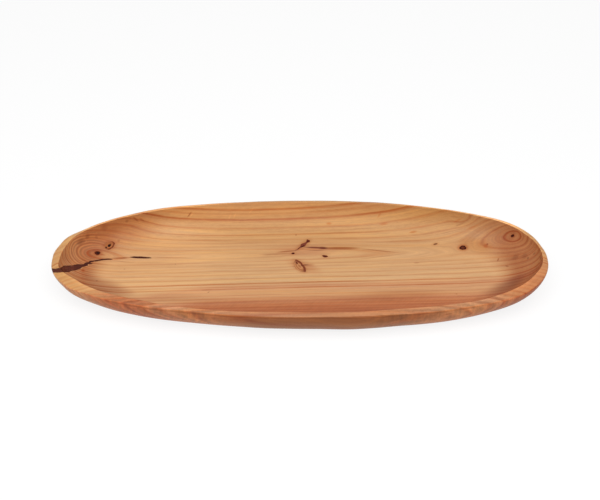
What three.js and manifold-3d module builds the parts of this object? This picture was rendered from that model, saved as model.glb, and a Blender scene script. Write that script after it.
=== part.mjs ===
// A long, shallow serving tray, carved by hand from one block of wood. The dark filler in its cracks,
// the dead knots in its hollow and the two ends of the trunk's soft pith, which the hollow lays bare,
// are solids of their own, each seated in a pocket of the block.
// Millimetres, +Z up, +X along the tray. The origin is the middle of its footprint on the table.
import * as THREE from 'three';
import { mergeVertices } from 'three/addons/utils/BufferGeometryUtils.js';
import Module from 'manifold-3d';

// Driving dimensions: the block and its outline seen from above
const TRAY_LENGTH = 600;
const TRAY_WIDTH = 217;
const TRAY_HEIGHT = 44;
const WIDEST_STATION = 14; // how far to the right of the middle the tray is widest
const TIP_SETBACK = 3.5; // how far the two tips lie in front of the long centre line
const OUTLINE_FULLNESS = 2.36; // exponent of the outline's curve, where 2 is an ellipse
const HAND_CUT_WAVES = [
  { perTurn: 3, cosine: -0.005, sine: -0.005 },
  { perTurn: 4, cosine: 0.006, sine: 0.005 },
  { perTurn: 5, cosine: -0.006, sine: -0.01 },
]; // unevenness of the outline, as shares of its half width

// Driving dimensions: rim, hollow and outer wall
const RIM_WIDTH = 7.5;
const RIM_FALL = 2; // how much lower the rim's outer edge is than its inner edge
const RIM_OUTER_ROUND = 1.2;
const RIM_INNER_ROUND = 1;
const FLOOR_THICKNESS = 10;
const HOLLOW_RUN = { end: 58, side: 42, lean: 0.2 }; // plan width of the hollow's wall
const OUTER_RUN = { end: 86, side: 42, lean: 0.08 }; // plan width of the outer wall, rim to foot

// Driving dimensions: the crack at the left tip and the short split in line with it
const CRACK_LENGTH = 72;
const CRACK_UPPER_FACE = [[-38, 42], [-10.6, 21.5], [-6.6, 20.3], [4.1, 12.2], [8.7, 10.7], [14.3, 7.2],
  [21.5, 6.1], [23.9, 4.3], [28.4, 3.4], [31.5, 1.6]]; // y, and height above the floor
const CRACK_LOWER_FACE = [[30.4, 1.3], [25.2, 2.9], [20.7, 3.7], [12.4, 5.4], [7.8, 7.7], [3.5, 8.9],
  [-3.4, 12.7], [-8.5, 14.8], [-15.7, 19], [-45.7, 42.5]];
const SPLIT_FROM_TIP = 103;
const SPLIT_SIDEWAYS = 34.2;
const SPLIT_LENGTH = 27;
const SPLIT_WIDTH = 2.6;
const SPLIT_DEPTH = 3;

// Driving dimensions: dead knots and pith cores. A place is a point of the floor, or a bearing round the
// hollow with how far down its wall from the rim, from 0 to 1. A size is half the oval's length and
// half its width.
const KNOTS = [
  { name: 'left_pith_core', bearing: 157.8, down: 0.56, size: [3.9, 2.7], turn: 13, depth: 4 },
  { name: 'left_wall_knot', bearing: 148.5, down: 0.497, size: [6.7, 4.5], turn: 33, depth: 4 },
  { name: 'centre_spike_knot', x: 4.8, y: 59.1, size: [11.3, 2.1], turn: 49, depth: 5 },
  { name: 'centre_oval_knot', x: 0.5, y: 19.3, size: [10.3, 4.1], turn: -64, depth: 5 },
  { name: 'left_pin_knot', x: -8.4, y: 42.3, size: [1.7, 1.5], turn: 43, depth: 3 },
  { name: 'right_pin_knot', x: 31.4, y: 36.7, size: [2.9, 1.7], turn: -16, depth: 3 },
  { name: 'small_floor_knot', bearing: 52.6, down: 0.78, size: [2.8, 1.3], turn: 10, depth: 3 },
  { name: 'right_floor_knot', bearing: 41.3, down: 0.74, size: [4.2, 3.4], turn: -6, depth: 4 },
  { name: 'right_pith_core', bearing: 26.7, down: 0.17, size: [2.9, 1.8], turn: 18, depth: 4 },
];
const KNOT_TAPER = 0.7; // a knot's inner end as a share of its face

// Gap left between the block and a solid seated in it
const SEAT_CLEARANCE = 0.3;

// How finely the round forms are divided
const POINTS_ROUND_THE_TRAY = 96;
const STEPS_DOWN_A_WALL = 9;
const SIDES_OF_A_KNOT = 20;
const PASS_THROUGH = 12; // how far a blank stands past the surface that trims it
const SHARPEST_CORNER = 0.3; // keeps a grown outline's sharp corners short

const WOOD = new THREE.Color(0xd2a06c);
const KNOT_WOOD = new THREE.Color(0x6b3f26);
const FILLER = new THREE.Color(0x4a2a22);

const wasm = await Module();
wasm.setup();

// Unevenness of the outline at an angle round the tray
function handCutWave(angle) {
  return HAND_CUT_WAVES.reduce((sum, { perTurn, cosine, sine }) => (
    sum + cosine * Math.cos(perTurn * angle) + sine * Math.sin(perTurn * angle)
  ), 0);
}

const MEAN_WIDTH_WAVE = (handCutWave(Math.PI / 2) + handCutWave(-Math.PI / 2)) / 2;

// A coordinate of the outline's curve, from -1 to 1
function fullness(value) {
  return Math.sign(value) * Math.abs(value) ** (2 / OUTLINE_FULLNESS);
}

// A point at an angle round the tray, set in from the outline along and across it
function outlinePoint(angle, { endInset, sideInset, height }) {
  const toTip = TRAY_LENGTH / 2 - Math.sign(Math.cos(angle)) * WIDEST_STATION;
  const along = (toTip - endInset) * fullness(Math.cos(angle));
  const halfWidth = TRAY_WIDTH / 2 / (1 + MEAN_WIDTH_WAVE) - sideInset;
  const across = halfWidth * (1 + handCutWave(angle)) * fullness(Math.sin(angle));
  return new THREE.Vector3(WIDEST_STATION + along, across - TIP_SETBACK * (along / toTip) ** 2, height);
}

function outlineLoop(insets) {
  return Array.from({ length: POINTS_ROUND_THE_TRAY }, (_, index) => (
    outlinePoint((index / POINTS_ROUND_THE_TRAY) * 2 * Math.PI, insets)
  ));
}

// Share of a wall's plan width at a share of the way down its curve
function runShare(share, lean) {
  return (1 - lean) * (1 - Math.cos((share * Math.PI) / 2)) + lean * share;
}

// The hollow's wall, from the rim at 0 to the floor's edge at 1
function hollowInsets(share) {
  const run = runShare(share, HOLLOW_RUN.lean);
  const top = TRAY_HEIGHT - RIM_INNER_ROUND;
  return {
    endInset: RIM_WIDTH + HOLLOW_RUN.end * run,
    sideInset: RIM_WIDTH + HOLLOW_RUN.side * run,
    height: top - (top - FLOOR_THICKNESS) * Math.sin((share * Math.PI) / 2),
  };
}

// The outer wall, from under the rim at 0 to the foot's edge at 1
function outerInsets(share) {
  const run = runShare(share, OUTER_RUN.lean);
  const top = TRAY_HEIGHT - RIM_FALL - RIM_OUTER_ROUND;
  return {
    endInset: OUTER_RUN.end * run,
    sideInset: OUTER_RUN.side * run,
    height: top * (1 - Math.sin((share * Math.PI) / 2)),
  };
}

// The rim's top, from its rounded outer edge to its rounded inner edge
function rimInsets() {
  const cornerOfArc = RIM_OUTER_ROUND * (1 - Math.SQRT1_2);
  const outerTop = TRAY_HEIGHT - RIM_FALL;
  return [
    [cornerOfArc, outerTop - cornerOfArc],
    [RIM_OUTER_ROUND, outerTop],
    [RIM_WIDTH - RIM_INNER_ROUND, TRAY_HEIGHT],
  ].map(([inset, height]) => ({ endInset: inset, sideInset: inset, height }));
}

// A closed skin through loops of equal count, with a fan of triangles over the first and the last
function skinOverLoops(loops) {
  const count = loops[0].length;
  const sumOf = (loop) => loop.reduce((sum, point) => sum.add(point), new THREE.Vector3());
  const middleOf = (loop) => sumOf(loop).divideScalar(count);
  const points = [...loops.flat(), middleOf(loops[0]), middleOf(loops[loops.length - 1])];
  const firstMiddle = points.length - 2;
  const lastMiddle = points.length - 1;
  const lastLoop = (loops.length - 1) * count;
  const triangles = [];
  for (let side = 0; side < count; side += 1) {
    const next = (side + 1) % count;
    triangles.push(firstMiddle, next, side);
    triangles.push(lastMiddle, lastLoop + side, lastLoop + next);
    for (let start = 0; start < lastLoop; start += count) {
      triangles.push(start + side, start + next, start + count + next);
      triangles.push(start + side, start + count + next, start + count + side);
    }
  }
  const geometry = new THREE.BufferGeometry().setFromPoints(points);
  geometry.setIndex(triangles);
  return geometry;
}

// A share list that runs from 0 to 1
function wallShares() {
  return Array.from({ length: STEPS_DOWN_A_WALL + 1 }, (_, step) => step / STEPS_DOWN_A_WALL);
}

function blockGeometry() {
  const upTheOuterWall = wallShares().reverse().map(outerInsets);
  const downTheHollow = wallShares().map(hollowInsets);
  return skinOverLoops([...upTheOuterWall, ...rimInsets(), ...downTheHollow].map(outlineLoop));
}

function solidOf(geometry) {
  const bare = geometry.clone();
  bare.deleteAttribute('normal');
  bare.deleteAttribute('uv');
  const merged = mergeVertices(bare);
  return new wasm.Manifold(new wasm.Mesh({
    numProp: 3,
    vertProperties: Float32Array.from(merged.attributes.position.array),
    triVerts: Uint32Array.from(merged.index.array),
  }));
}

function geometryOf(solid) {
  const { vertProperties, triVerts } = solid.getMesh();
  const geometry = new THREE.BufferGeometry();
  geometry.setAttribute('position', new THREE.BufferAttribute(vertProperties, 3));
  geometry.setIndex(new THREE.BufferAttribute(triVerts, 1));
  geometry.computeVertexNormals();
  return geometry;
}

// Moves every side of a closed outline outwards by a distance, square to itself
function grownOutline(points, distance) {
  const turn = THREE.ShapeUtils.area(points) > 0 ? 1 : -1;
  const outwardOf = (from, to) => {
    const line = to.clone().sub(from).normalize();
    return new THREE.Vector2(turn * line.y, -turn * line.x);
  };
  return points.map((point, index) => {
    const before = outwardOf(points[(index + points.length - 1) % points.length], point);
    const after = outwardOf(point, points[(index + 1) % points.length]);
    const corner = distance / Math.max(1 + before.dot(after), SHARPEST_CORNER);
    return point.clone().addScaledVector(before.add(after), corner);
  });
}

// The crack is a wedge along the tray: one outline across it, run from outside the tip inwards
function crackBlank(growth) {
  const outline = [...CRACK_UPPER_FACE, ...CRACK_LOWER_FACE].map(([y, aboveFloor]) => (
    new THREE.Vector2(y, FLOOR_THICKNESS + aboveFloor)
  ));
  const shape = new THREE.Shape(grownOutline(outline, growth));
  const depth = CRACK_LENGTH + PASS_THROUGH + growth;
  const geometry = new THREE.ExtrudeGeometry(shape, { depth, bevelEnabled: false });
  const acrossUpAlong = new THREE.Matrix4().makeBasis(
    new THREE.Vector3(0, 1, 0),
    new THREE.Vector3(0, 0, 1),
    new THREE.Vector3(1, 0, 0),
  );
  return geometry.applyMatrix4(acrossUpAlong).translate(-TRAY_LENGTH / 2 - PASS_THROUGH, 0, 0);
}

// An oval plug square to the hollow at a point: it tapers below the surface and runs straight above it
function ovalPlug({ size, turn, depth }, seat, growth) {
  const [halfLength, halfWidth] = size;
  const bottom = -depth - growth;
  const profile = [[0, bottom], [KNOT_TAPER, bottom], [1, 0], [1, PASS_THROUGH], [0, PASS_THROUGH]];
  const points = profile.map(([radius, height]) => new THREE.Vector2(radius, height));
  const geometry = new THREE.LatheGeometry(points, SIDES_OF_A_KNOT);
  geometry.rotateX(Math.PI / 2).scale(halfLength + growth, halfWidth + growth, 1);
  const along = new THREE.Vector3(1, 0, 0).projectOnPlane(seat.normal).normalize();
  const across = seat.normal.clone().cross(along);
  const frame = new THREE.Matrix4().makeBasis(along, across, seat.normal).setPosition(seat.point);
  return geometry.rotateZ(THREE.MathUtils.degToRad(turn)).applyMatrix4(frame);
}

// The point of the hollow under a place, with the direction square to the surface
function seatUnder(surface, place) {
  const spot = 'bearing' in place
    ? outlinePoint(THREE.MathUtils.degToRad(place.bearing), hollowInsets(place.down))
    : new THREE.Vector3(place.x, place.y, 0);
  const fromAbove = new THREE.Vector3(spot.x, spot.y, TRAY_HEIGHT + PASS_THROUGH);
  const ray = new THREE.Raycaster(fromAbove, new THREE.Vector3(0, 0, -1));
  const [hit] = ray.intersectObject(surface);
  return { point: hit.point, normal: hit.face.normal.clone() };
}

const blockShape = blockGeometry();
const surface = new THREE.Mesh(blockShape);
const block = solidOf(blockShape);

const splitPlace = { x: -TRAY_LENGTH / 2 + SPLIT_FROM_TIP, y: SPLIT_SIDEWAYS };
const splitOval = { size: [SPLIT_LENGTH / 2, SPLIT_WIDTH / 2], turn: 0, depth: SPLIT_DEPTH };
const splitSeat = seatUnder(surface, splitPlace);

const inserts = [
  { name: 'end_crack_fill', colour: FILLER, blank: crackBlank },
  { name: 'floor_split_fill', colour: FILLER, blank: (growth) => ovalPlug(splitOval, splitSeat, growth) },
  ...KNOTS.map((knot) => {
    const seat = seatUnder(surface, knot);
    return { name: knot.name, colour: KNOT_WOOD, blank: (growth) => ovalPlug(knot, seat, growth) };
  }),
];

// Middle of the outline's box, which becomes the origin
const footprint = new THREE.Box3().setFromPoints(outlineLoop(outerInsets(0)));
const footprintMiddle = footprint.getCenter(new THREE.Vector3()).setZ(0).negate();

function woodenMesh(name, solid, colour, roughness) {
  const material = new THREE.MeshStandardMaterial({ color: colour, roughness, metalness: 0 });
  const mesh = new THREE.Mesh(geometryOf(solid), material);
  mesh.name = name;
  mesh.position.copy(footprintMiddle);
  return mesh;
}

const tray = new THREE.Group();
const carvedBlock = inserts.reduce((wood, insert) => (
  wood.subtract(solidOf(insert.blank(SEAT_CLEARANCE)))
), block);
tray.add(woodenMesh('tray_body', carvedBlock, WOOD, 0.5));
for (const { name, colour, blank } of inserts) {
  tray.add(woodenMesh(name, solidOf(blank(0)).intersect(block), colour, 0.45));
}

export default tray;
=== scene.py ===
"""A long, shallow serving tray, carved by hand from one block of wood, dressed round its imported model.

Lengths and places are in millimetres unless a name says otherwise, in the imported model's own frame: +X
runs along the tray away from the tip with the filled crack, +Y away from the viewer, +Z up, and the origin
is under the middle of the tray. A bearing goes round the tray from its right tip, in degrees.
"""

import logging
import math
from collections.abc import Iterable
from dataclasses import dataclass, field
from enum import Enum
from functools import reduce

import bmesh
import bpy
from mathutils import Euler, Matrix, Vector, noise

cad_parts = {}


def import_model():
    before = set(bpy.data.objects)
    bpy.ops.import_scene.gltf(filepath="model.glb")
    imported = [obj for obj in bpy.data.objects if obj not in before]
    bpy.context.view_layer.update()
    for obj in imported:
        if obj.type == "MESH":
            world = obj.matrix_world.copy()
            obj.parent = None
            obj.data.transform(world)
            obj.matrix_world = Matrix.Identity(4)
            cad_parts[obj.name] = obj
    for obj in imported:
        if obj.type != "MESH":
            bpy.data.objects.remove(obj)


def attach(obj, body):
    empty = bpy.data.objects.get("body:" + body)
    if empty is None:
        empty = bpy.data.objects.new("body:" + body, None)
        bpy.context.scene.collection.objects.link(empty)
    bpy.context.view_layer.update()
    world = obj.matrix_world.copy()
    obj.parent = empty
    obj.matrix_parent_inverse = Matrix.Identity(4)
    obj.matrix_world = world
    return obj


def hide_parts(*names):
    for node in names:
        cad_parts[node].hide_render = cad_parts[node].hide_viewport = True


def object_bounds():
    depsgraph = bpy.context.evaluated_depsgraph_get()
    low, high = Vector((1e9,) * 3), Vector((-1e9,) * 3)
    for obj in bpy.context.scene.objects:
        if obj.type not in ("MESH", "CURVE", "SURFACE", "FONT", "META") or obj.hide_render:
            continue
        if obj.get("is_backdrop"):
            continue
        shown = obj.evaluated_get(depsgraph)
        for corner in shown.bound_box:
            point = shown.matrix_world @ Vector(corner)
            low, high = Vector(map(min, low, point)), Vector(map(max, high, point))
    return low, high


LOG = logging.getLogger("serving_tray")
MM = 0.001
BODY = "root"
WHITE = (1.0, 1.0, 1.0, 1.0)

Piece = bpy.types.Object
Ring = list[Vector]
Triple = tuple[float, float, float] | Vector
Stops = tuple[tuple[float, float], ...]
Shown = tuple[int, int, int]
Rgba = tuple[float, ...]


class Slot(Enum):
    """The record's material slots."""

    CARVED_WOOD = "carved_wood"
    KNOT_WOOD = "knot_wood"
    CRACK_FILLER = "crack_filler"


class KnotShape(Enum):
    """How wide an insert is along its length against a plain oval: a share all over, and bumps on it.

    Each bump is a share, the place of its middle from -1 to 1, and its spread.
    """

    OVAL = (1.0, ())
    SPIKE = (0.36, ((0.6, -0.1, 0.3), (0.95, 0.8, 0.17)))
    SLIVER = (0.72, ((0.3, -0.78, 0.2), (0.25, -0.3, 0.5)))

    def swell(self, along: float) -> float:
        """Give the width at a place from -1 to 1 along the insert, as a share of the oval's."""
        base, bumps = self.value
        return sum((share * bell(along, middle, spread) for share, middle, spread in bumps), base)


# Small helpers


def ease(value: float, low: float, high: float) -> float:
    """Rise smoothly from 0 at low to 1 at high."""
    share = min(max((value - low) / (high - low), 0.0), 1.0)
    return share * share * (3.0 - 2.0 * share)


def bell(value: float, middle: float, spread: float) -> float:
    """Give a bell curve that is 1 at its middle."""
    return math.exp(-(((value - middle) / spread) ** 2))


def turn_between(bearing: float, middle: float) -> float:
    """Give the shorter turn in degrees from one bearing to another."""
    return (bearing - middle + 180.0) % 360.0 - 180.0


def around(stops: Stops, bearing: float) -> float:
    """Read a value that is named at some bearings, on a smooth curve through them.

    Args:
        stops: Pairs of a bearing in degrees and the value there, in order.
        bearing: The bearing in radians.

    Returns:
        The value.
    """
    degrees = math.degrees(bearing) % 360.0
    before = [(place - 360.0, value) for place, value in stops[-2:]]
    after = [(place + 360.0, value) for place, value in stops[:2]]
    closed = [*before, *stops, *after]
    for index in range(1, len(closed) - 2):
        (start, value), (end, following) = closed[index], closed[index + 1]
        if start <= degrees <= end:
            reach = end - start
            slope = (following - closed[index - 1][1]) / (end - closed[index - 1][0]) * reach
            next_slope = (closed[index + 2][1] - value) / (closed[index + 2][0] - start) * reach
            share = (degrees - start) / reach
            turn = ease(share, 0.0, 1.0)
            bow = share * (1.0 - share) ** 2 * slope - share ** 2 * (1.0 - share) * next_slope
            return value * (1.0 - turn) + following * turn + bow
    return stops[0][1]


def linear_colour(red: int, green: int, blue: int) -> tuple[float, float, float, float]:
    """Turn a colour as a screen shows it, from 0 to 255, into the shader's linear colour.

    Args:
        red: The red part.
        green: The green part.
        blue: The blue part.

    Returns:
        The linear red, green, blue and an alpha of 1.
    """
    parts = []
    for part in (red, green, blue):
        shown = part / 255.0
        parts.append(shown / 12.92 if shown <= 0.04045 else ((shown + 0.055) / 1.055) ** 2.4)
    return parts[0], parts[1], parts[2], 1.0


# Modelling by hand


def pick_only(*pieces: Piece) -> None:
    """Select some objects and no others.

    Args:
        pieces: The objects. The first one becomes the active one.
    """
    bpy.ops.object.select_all(action="DESELECT")
    for piece in pieces:
        piece.select_set(True)
    bpy.context.view_layer.objects.active = pieces[0]


class LoopSkin:
    """A skin that is pulled out of one ring of points, edge by edge, with each new ring seated in place."""

    def __init__(self, name: str, first: Ring) -> None:
        """Start from a circle of points.

        Args:
            name: The object's name.
            first: Where the first ring's points sit, in metres.
        """
        bpy.ops.object.select_all(action="DESELECT")
        bpy.ops.mesh.primitive_circle_add(vertices=len(first), radius=first[0].length, fill_type="NOTHING")
        self.piece = bpy.context.object
        self.piece.name = name
        self.piece.data.name = name
        bpy.ops.object.mode_set(mode="EDIT")
        bpy.ops.mesh.select_all(action="SELECT")
        mesh = self._edited()
        self.ring = {vert.index: place for place, vert in enumerate(mesh.verts)}
        for vert in mesh.verts:
            vert.co = first[vert.index]
        bmesh.update_edit_mesh(self.piece.data)

    def _edited(self) -> bmesh.types.BMesh:
        """Look up the mesh that is open for editing.

        Returns:
            The mesh, with its points numbered afresh.
        """
        mesh = bmesh.from_edit_mesh(self.piece.data)
        mesh.verts.index_update()
        mesh.verts.ensure_lookup_table()
        return mesh

    def pull(self, seats: Ring) -> None:
        """Extrude the open ring and seat the new one.

        Args:
            seats: Where the new ring's points sit, in metres.
        """
        bpy.ops.mesh.extrude_region_move()
        mesh = self._edited()
        new_ring = {}
        for vert in mesh.verts:
            if not vert.select:
                continue
            for edge in vert.link_edges:
                place = self.ring.get(edge.other_vert(vert).index)
                if place is not None and not edge.other_vert(vert).select:
                    new_ring[vert.index] = place
                    vert.co = seats[place]
        self.ring = new_ring
        bmesh.update_edit_mesh(self.piece.data)

    def cap(self) -> None:
        """Close the open ends of the skin."""
        bpy.ops.mesh.select_all(action="SELECT")
        bpy.ops.mesh.region_to_loop()
        bpy.ops.mesh.edge_face_add()

    def done(self) -> Piece:
        """Merge doubled points, turn the faces outwards and leave edit mode.

        Returns:
            The object.
        """
        bpy.ops.mesh.select_all(action="SELECT")
        bpy.ops.mesh.remove_doubles(threshold=1e-6)
        bpy.ops.mesh.normals_make_consistent(inside=False)
        bpy.ops.object.mode_set(mode="OBJECT")
        return self.piece


def skin_over(name: str, loops: list[Ring], capped: bool = True) -> Piece:
    """Pull a skin over a list of rings.

    Args:
        name: The object's name.
        loops: The rings' points, in metres.
        capped: Whether the first and the last ring are closed with a face.

    Returns:
        The closed object.
    """
    skin = LoopSkin(name, loops[0])
    for loop in loops[1:]:
        skin.pull(loop)
    if capped:
        skin.cap()
    return skin.done()


def apply_modifier(piece: Piece, kind: str, settings: dict) -> None:
    """Add a modifier to an object and apply it.

    Args:
        piece: The object.
        kind: The modifier's type.
        settings: What is set on it.
    """
    pick_only(piece)
    bpy.ops.object.modifier_add(type=kind)
    modifier = piece.modifiers[-1]
    for name, value in settings.items():
        setattr(modifier, name, value)
    bpy.ops.object.modifier_apply(modifier=modifier.name)


def cut_with(piece: Piece, tool: Piece, operation: str) -> None:
    """Cut one object with another and throw the tool away.

    Args:
        piece: The object that is cut.
        tool: The object that it is cut with.
        operation: DIFFERENCE or INTERSECT.
    """
    apply_modifier(piece, "BOOLEAN", {"operation": operation, "object": tool, "solver": "EXACT"})
    bpy.data.objects.remove(tool)


def joined(name: str, pieces: list[Piece]) -> Piece:
    """Join objects into one.

    Args:
        name: The joined object's name.
        pieces: The objects.

    Returns:
        The joined object.
    """
    pick_only(*pieces)
    bpy.ops.object.join()
    whole = bpy.context.object
    whole.name = name
    return whole


def copied(piece: Piece, name: str) -> Piece:
    """Copy an object together with its mesh.

    Args:
        piece: The object.
        name: The copy's name.

    Returns:
        The copy.
    """
    pick_only(piece)
    bpy.ops.object.duplicate(linked=False)
    twin = bpy.context.object
    twin.name = name
    return twin


def smooth(piece: Piece, sharp_degrees: float) -> None:
    """Shade an object smooth, with edges sharper than an angle left crisp."""
    pick_only(piece)
    bpy.ops.object.shade_smooth_by_angle(angle=math.radians(sharp_degrees))


# The tray's form


@dataclass(frozen=True)
class Wave:
    """One swing of the outline's unevenness, as shares of its half width."""

    per_turn: int
    cosine: float
    sine: float


@dataclass(frozen=True)
class HandCut:
    """A place round the rim where the maker's cut stands out or falls back."""

    bearing: float
    spread: float
    outwards: float


@dataclass(frozen=True)
class Run:
    """How wide a wall is in plan at the tips and at the sides, and how much it leans at its top."""

    end: float
    side: float
    lean: float

    def share(self, down: float) -> float:
        """Give the share of the wall's plan width at a share of the way down its curve."""
        return (1.0 - self.lean) * (1.0 - math.cos(down * math.pi / 2.0)) + self.lean * down


@dataclass(frozen=True)
class ToolMarks:
    """The unevenness that a tool leaves: how long its marks are and how deep."""

    wave: float
    depth: float

    def at(self, point: Vector) -> float:
        """Give a height within the depth, either way, at a point in millimetres."""
        return self.depth * noise.noise(point / self.wave)

    def sunk(self, point: Vector) -> float:
        """Give how far a point in millimetres is worn down, up to twice the depth."""
        return self.depth * (1.0 + noise.noise(point / self.wave))


@dataclass(frozen=True)
class TrayForm:
    """The whole shape of the block, from the middle of its foot over its rim to the middle of its floor.

    A value that changes round the tray is given as pairs of a bearing and the value there.
    """

    length: float
    width: float
    height: float
    widest_station: float = 14.0
    tip_setback: float = 3.5
    fullness: float = 2.36
    margin: float = 0.25
    waves: tuple[Wave, ...] = (Wave(3, -0.005, -0.005), Wave(4, 0.006, 0.005), Wave(5, -0.006, -0.01))
    hand_cuts: tuple[HandCut, ...] = (
        HandCut(10.0, 6.0, -1.8), HandCut(33.0, 9.0, 1.9), HandCut(59.0, 11.0, -1.8),
        HandCut(88.0, 9.0, 0.9), HandCut(104.0, 8.0, -0.9), HandCut(126.0, 8.0, 1.4),
        HandCut(152.0, 6.0, -2.1), HandCut(169.0, 5.0, -1.2), HandCut(198.0, 6.0, -1.6),
        HandCut(212.0, 7.0, -1.4), HandCut(329.0, 9.0, 1.4),
    )
    rim_widths: Stops = (
        (0.0, 6.6), (12.0, 6.2), (20.0, 7.0), (30.0, 5.0), (60.0, 5.0), (100.0, 5.0), (140.0, 5.6),
        (150.0, 7.0), (160.0, 9.0), (171.0, 11.6), (180.0, 10.6), (188.0, 8.6), (195.0, 11.2),
        (202.0, 14.0), (210.0, 12.4), (219.0, 10.2), (232.0, 8.2), (245.0, 5.4), (256.0, 5.4),
        (270.0, 6.9), (278.0, 6.4), (288.0, 7.6), (310.0, 5.8), (320.0, 7.8), (331.0, 9.8), (346.0, 10.4),
        (353.0, 8.0),
    )
    rim_falls: Stops = (
        (0.0, 2.4), (30.0, 1.8), (90.0, 1.6), (150.0, 2.4), (180.0, 3.4), (197.0, 4.6), (206.0, 4.2),
        (215.0, 2.4), (227.0, 2.0), (247.0, 1.5), (258.0, 3.2), (268.0, 3.3), (277.0, 2.2), (290.0, 2.7),
        (304.0, 4.0), (314.0, 4.6), (335.0, 3.6),
    )
    bellies: Stops = (
        (0.0, 0.4), (60.0, 1.0), (120.0, 1.0), (170.0, 0.0), (197.0, -0.6), (215.0, 0.2), (238.0, 1.5),
        (257.0, 0.4), (270.0, 1.8), (278.0, 2.8), (290.0, 2.0), (306.0, 2.3), (316.0, 1.2), (330.0, 1.2),
    )
    rim_outer_round: float = 1.2
    rim_inner_round: float = 1.0
    rim_stations: tuple[float, ...] = (0.33, 0.66)
    rim_fall_power: float = 1.25
    rim_steadiness: float = 0.7
    hollow_follow: float = 0.3
    floor_thickness: float = 10.0
    cad_rim_width: float = 7.5
    hollow_run: Run = Run(58.0, 42.0, 0.2)
    outer_run: Run = Run(86.0, 42.0, 0.08)
    foot_spine: float = 138.0
    floor_spine: float = 165.0
    spine_bow: float = 1.5
    outer_adze: ToolMarks = ToolMarks(60.0, 0.8)
    outer_plane: ToolMarks = ToolMarks(24.0, 0.3)
    rim_knife: ToolMarks = ToolMarks(22.0, 0.3)
    rim_sway: ToolMarks = ToolMarks(60.0, 0.4)
    rim_sway_from: Triple = (0.0, 0.0, 90.0)
    rim_wear: ToolMarks = ToolMarks(45.0, 0.15)
    hollow_gouge: ToolMarks = ToolMarks(22.0, 0.3)
    hollow_sway: ToolMarks = ToolMarks(55.0, 0.45)
    hollow_sink: float = 0.1
    floor_sweep: ToolMarks = ToolMarks(70.0, 0.3)
    foot_sweep: ToolMarks = ToolMarks(70.0, 0.0)
    points_round: int = 256
    outline_samples: int = 720
    outer_steps: int = 13
    hollow_steps: int = 15
    round_steps: int = 4
    foot_steps: int = 6
    floor_steps: int = 13
    level_by: float = 0.25

    def unevenness(self, bearing: float) -> float:
        """Give the outline's unevenness at a bearing in radians."""
        return sum(
            wave.cosine * math.cos(wave.per_turn * bearing) + wave.sine * math.sin(wave.per_turn * bearing)
            for wave in self.waves
        )

    def full(self, value: float) -> float:
        """Give a coordinate of the outline's curve, from -1 to 1."""
        return math.copysign(abs(value) ** (2.0 / self.fullness), value)

    def half_width(self) -> float:
        """Give the outline's half width, less its unevenness at the widest station."""
        mean = (self.unevenness(math.pi / 2.0) + self.unevenness(-math.pi / 2.0)) / 2.0
        return self.width / 2.0 / (1.0 + mean)

    def hand_cut(self, bearing: float) -> float:
        """Give how far the outline stands out at a bearing in radians."""
        turns = [turn_between(math.degrees(bearing), cut.bearing) for cut in self.hand_cuts]
        return sum(cut.outwards * bell(turn, 0.0, cut.spread) for cut, turn in zip(self.hand_cuts, turns))

    def raw_point(self, bearing: float, end_inset: float, side_inset: float) -> tuple[float, float]:
        """Give a point of the outline, set in from its edge, before it is centred on the frame.

        Args:
            bearing: The angle round the tray, in radians.
            end_inset: How far it is set in at the tips.
            side_inset: How far it is set in at the sides.

        Returns:
            The x and y of the point.
        """
        cosine = math.cos(bearing)
        to_tip = self.length / 2.0 - math.copysign(1.0, cosine) * self.widest_station
        along = (to_tip - end_inset) * self.full(cosine)
        half = self.half_width() - side_inset
        across = half * (1.0 + self.unevenness(bearing)) * self.full(math.sin(bearing))
        return self.widest_station + along, across - self.tip_setback * (along / to_tip) ** 2

    def centre_shift(self) -> float:
        """Work out the shift in y that centres the outline's box on the frame.

        Returns:
            The shift.
        """
        count = self.outline_samples
        sides = [self.raw_point(math.tau * step / count, 0.0, 0.0)[1] for step in range(count)]
        return -(max(sides) + min(sides)) / 2.0


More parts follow.
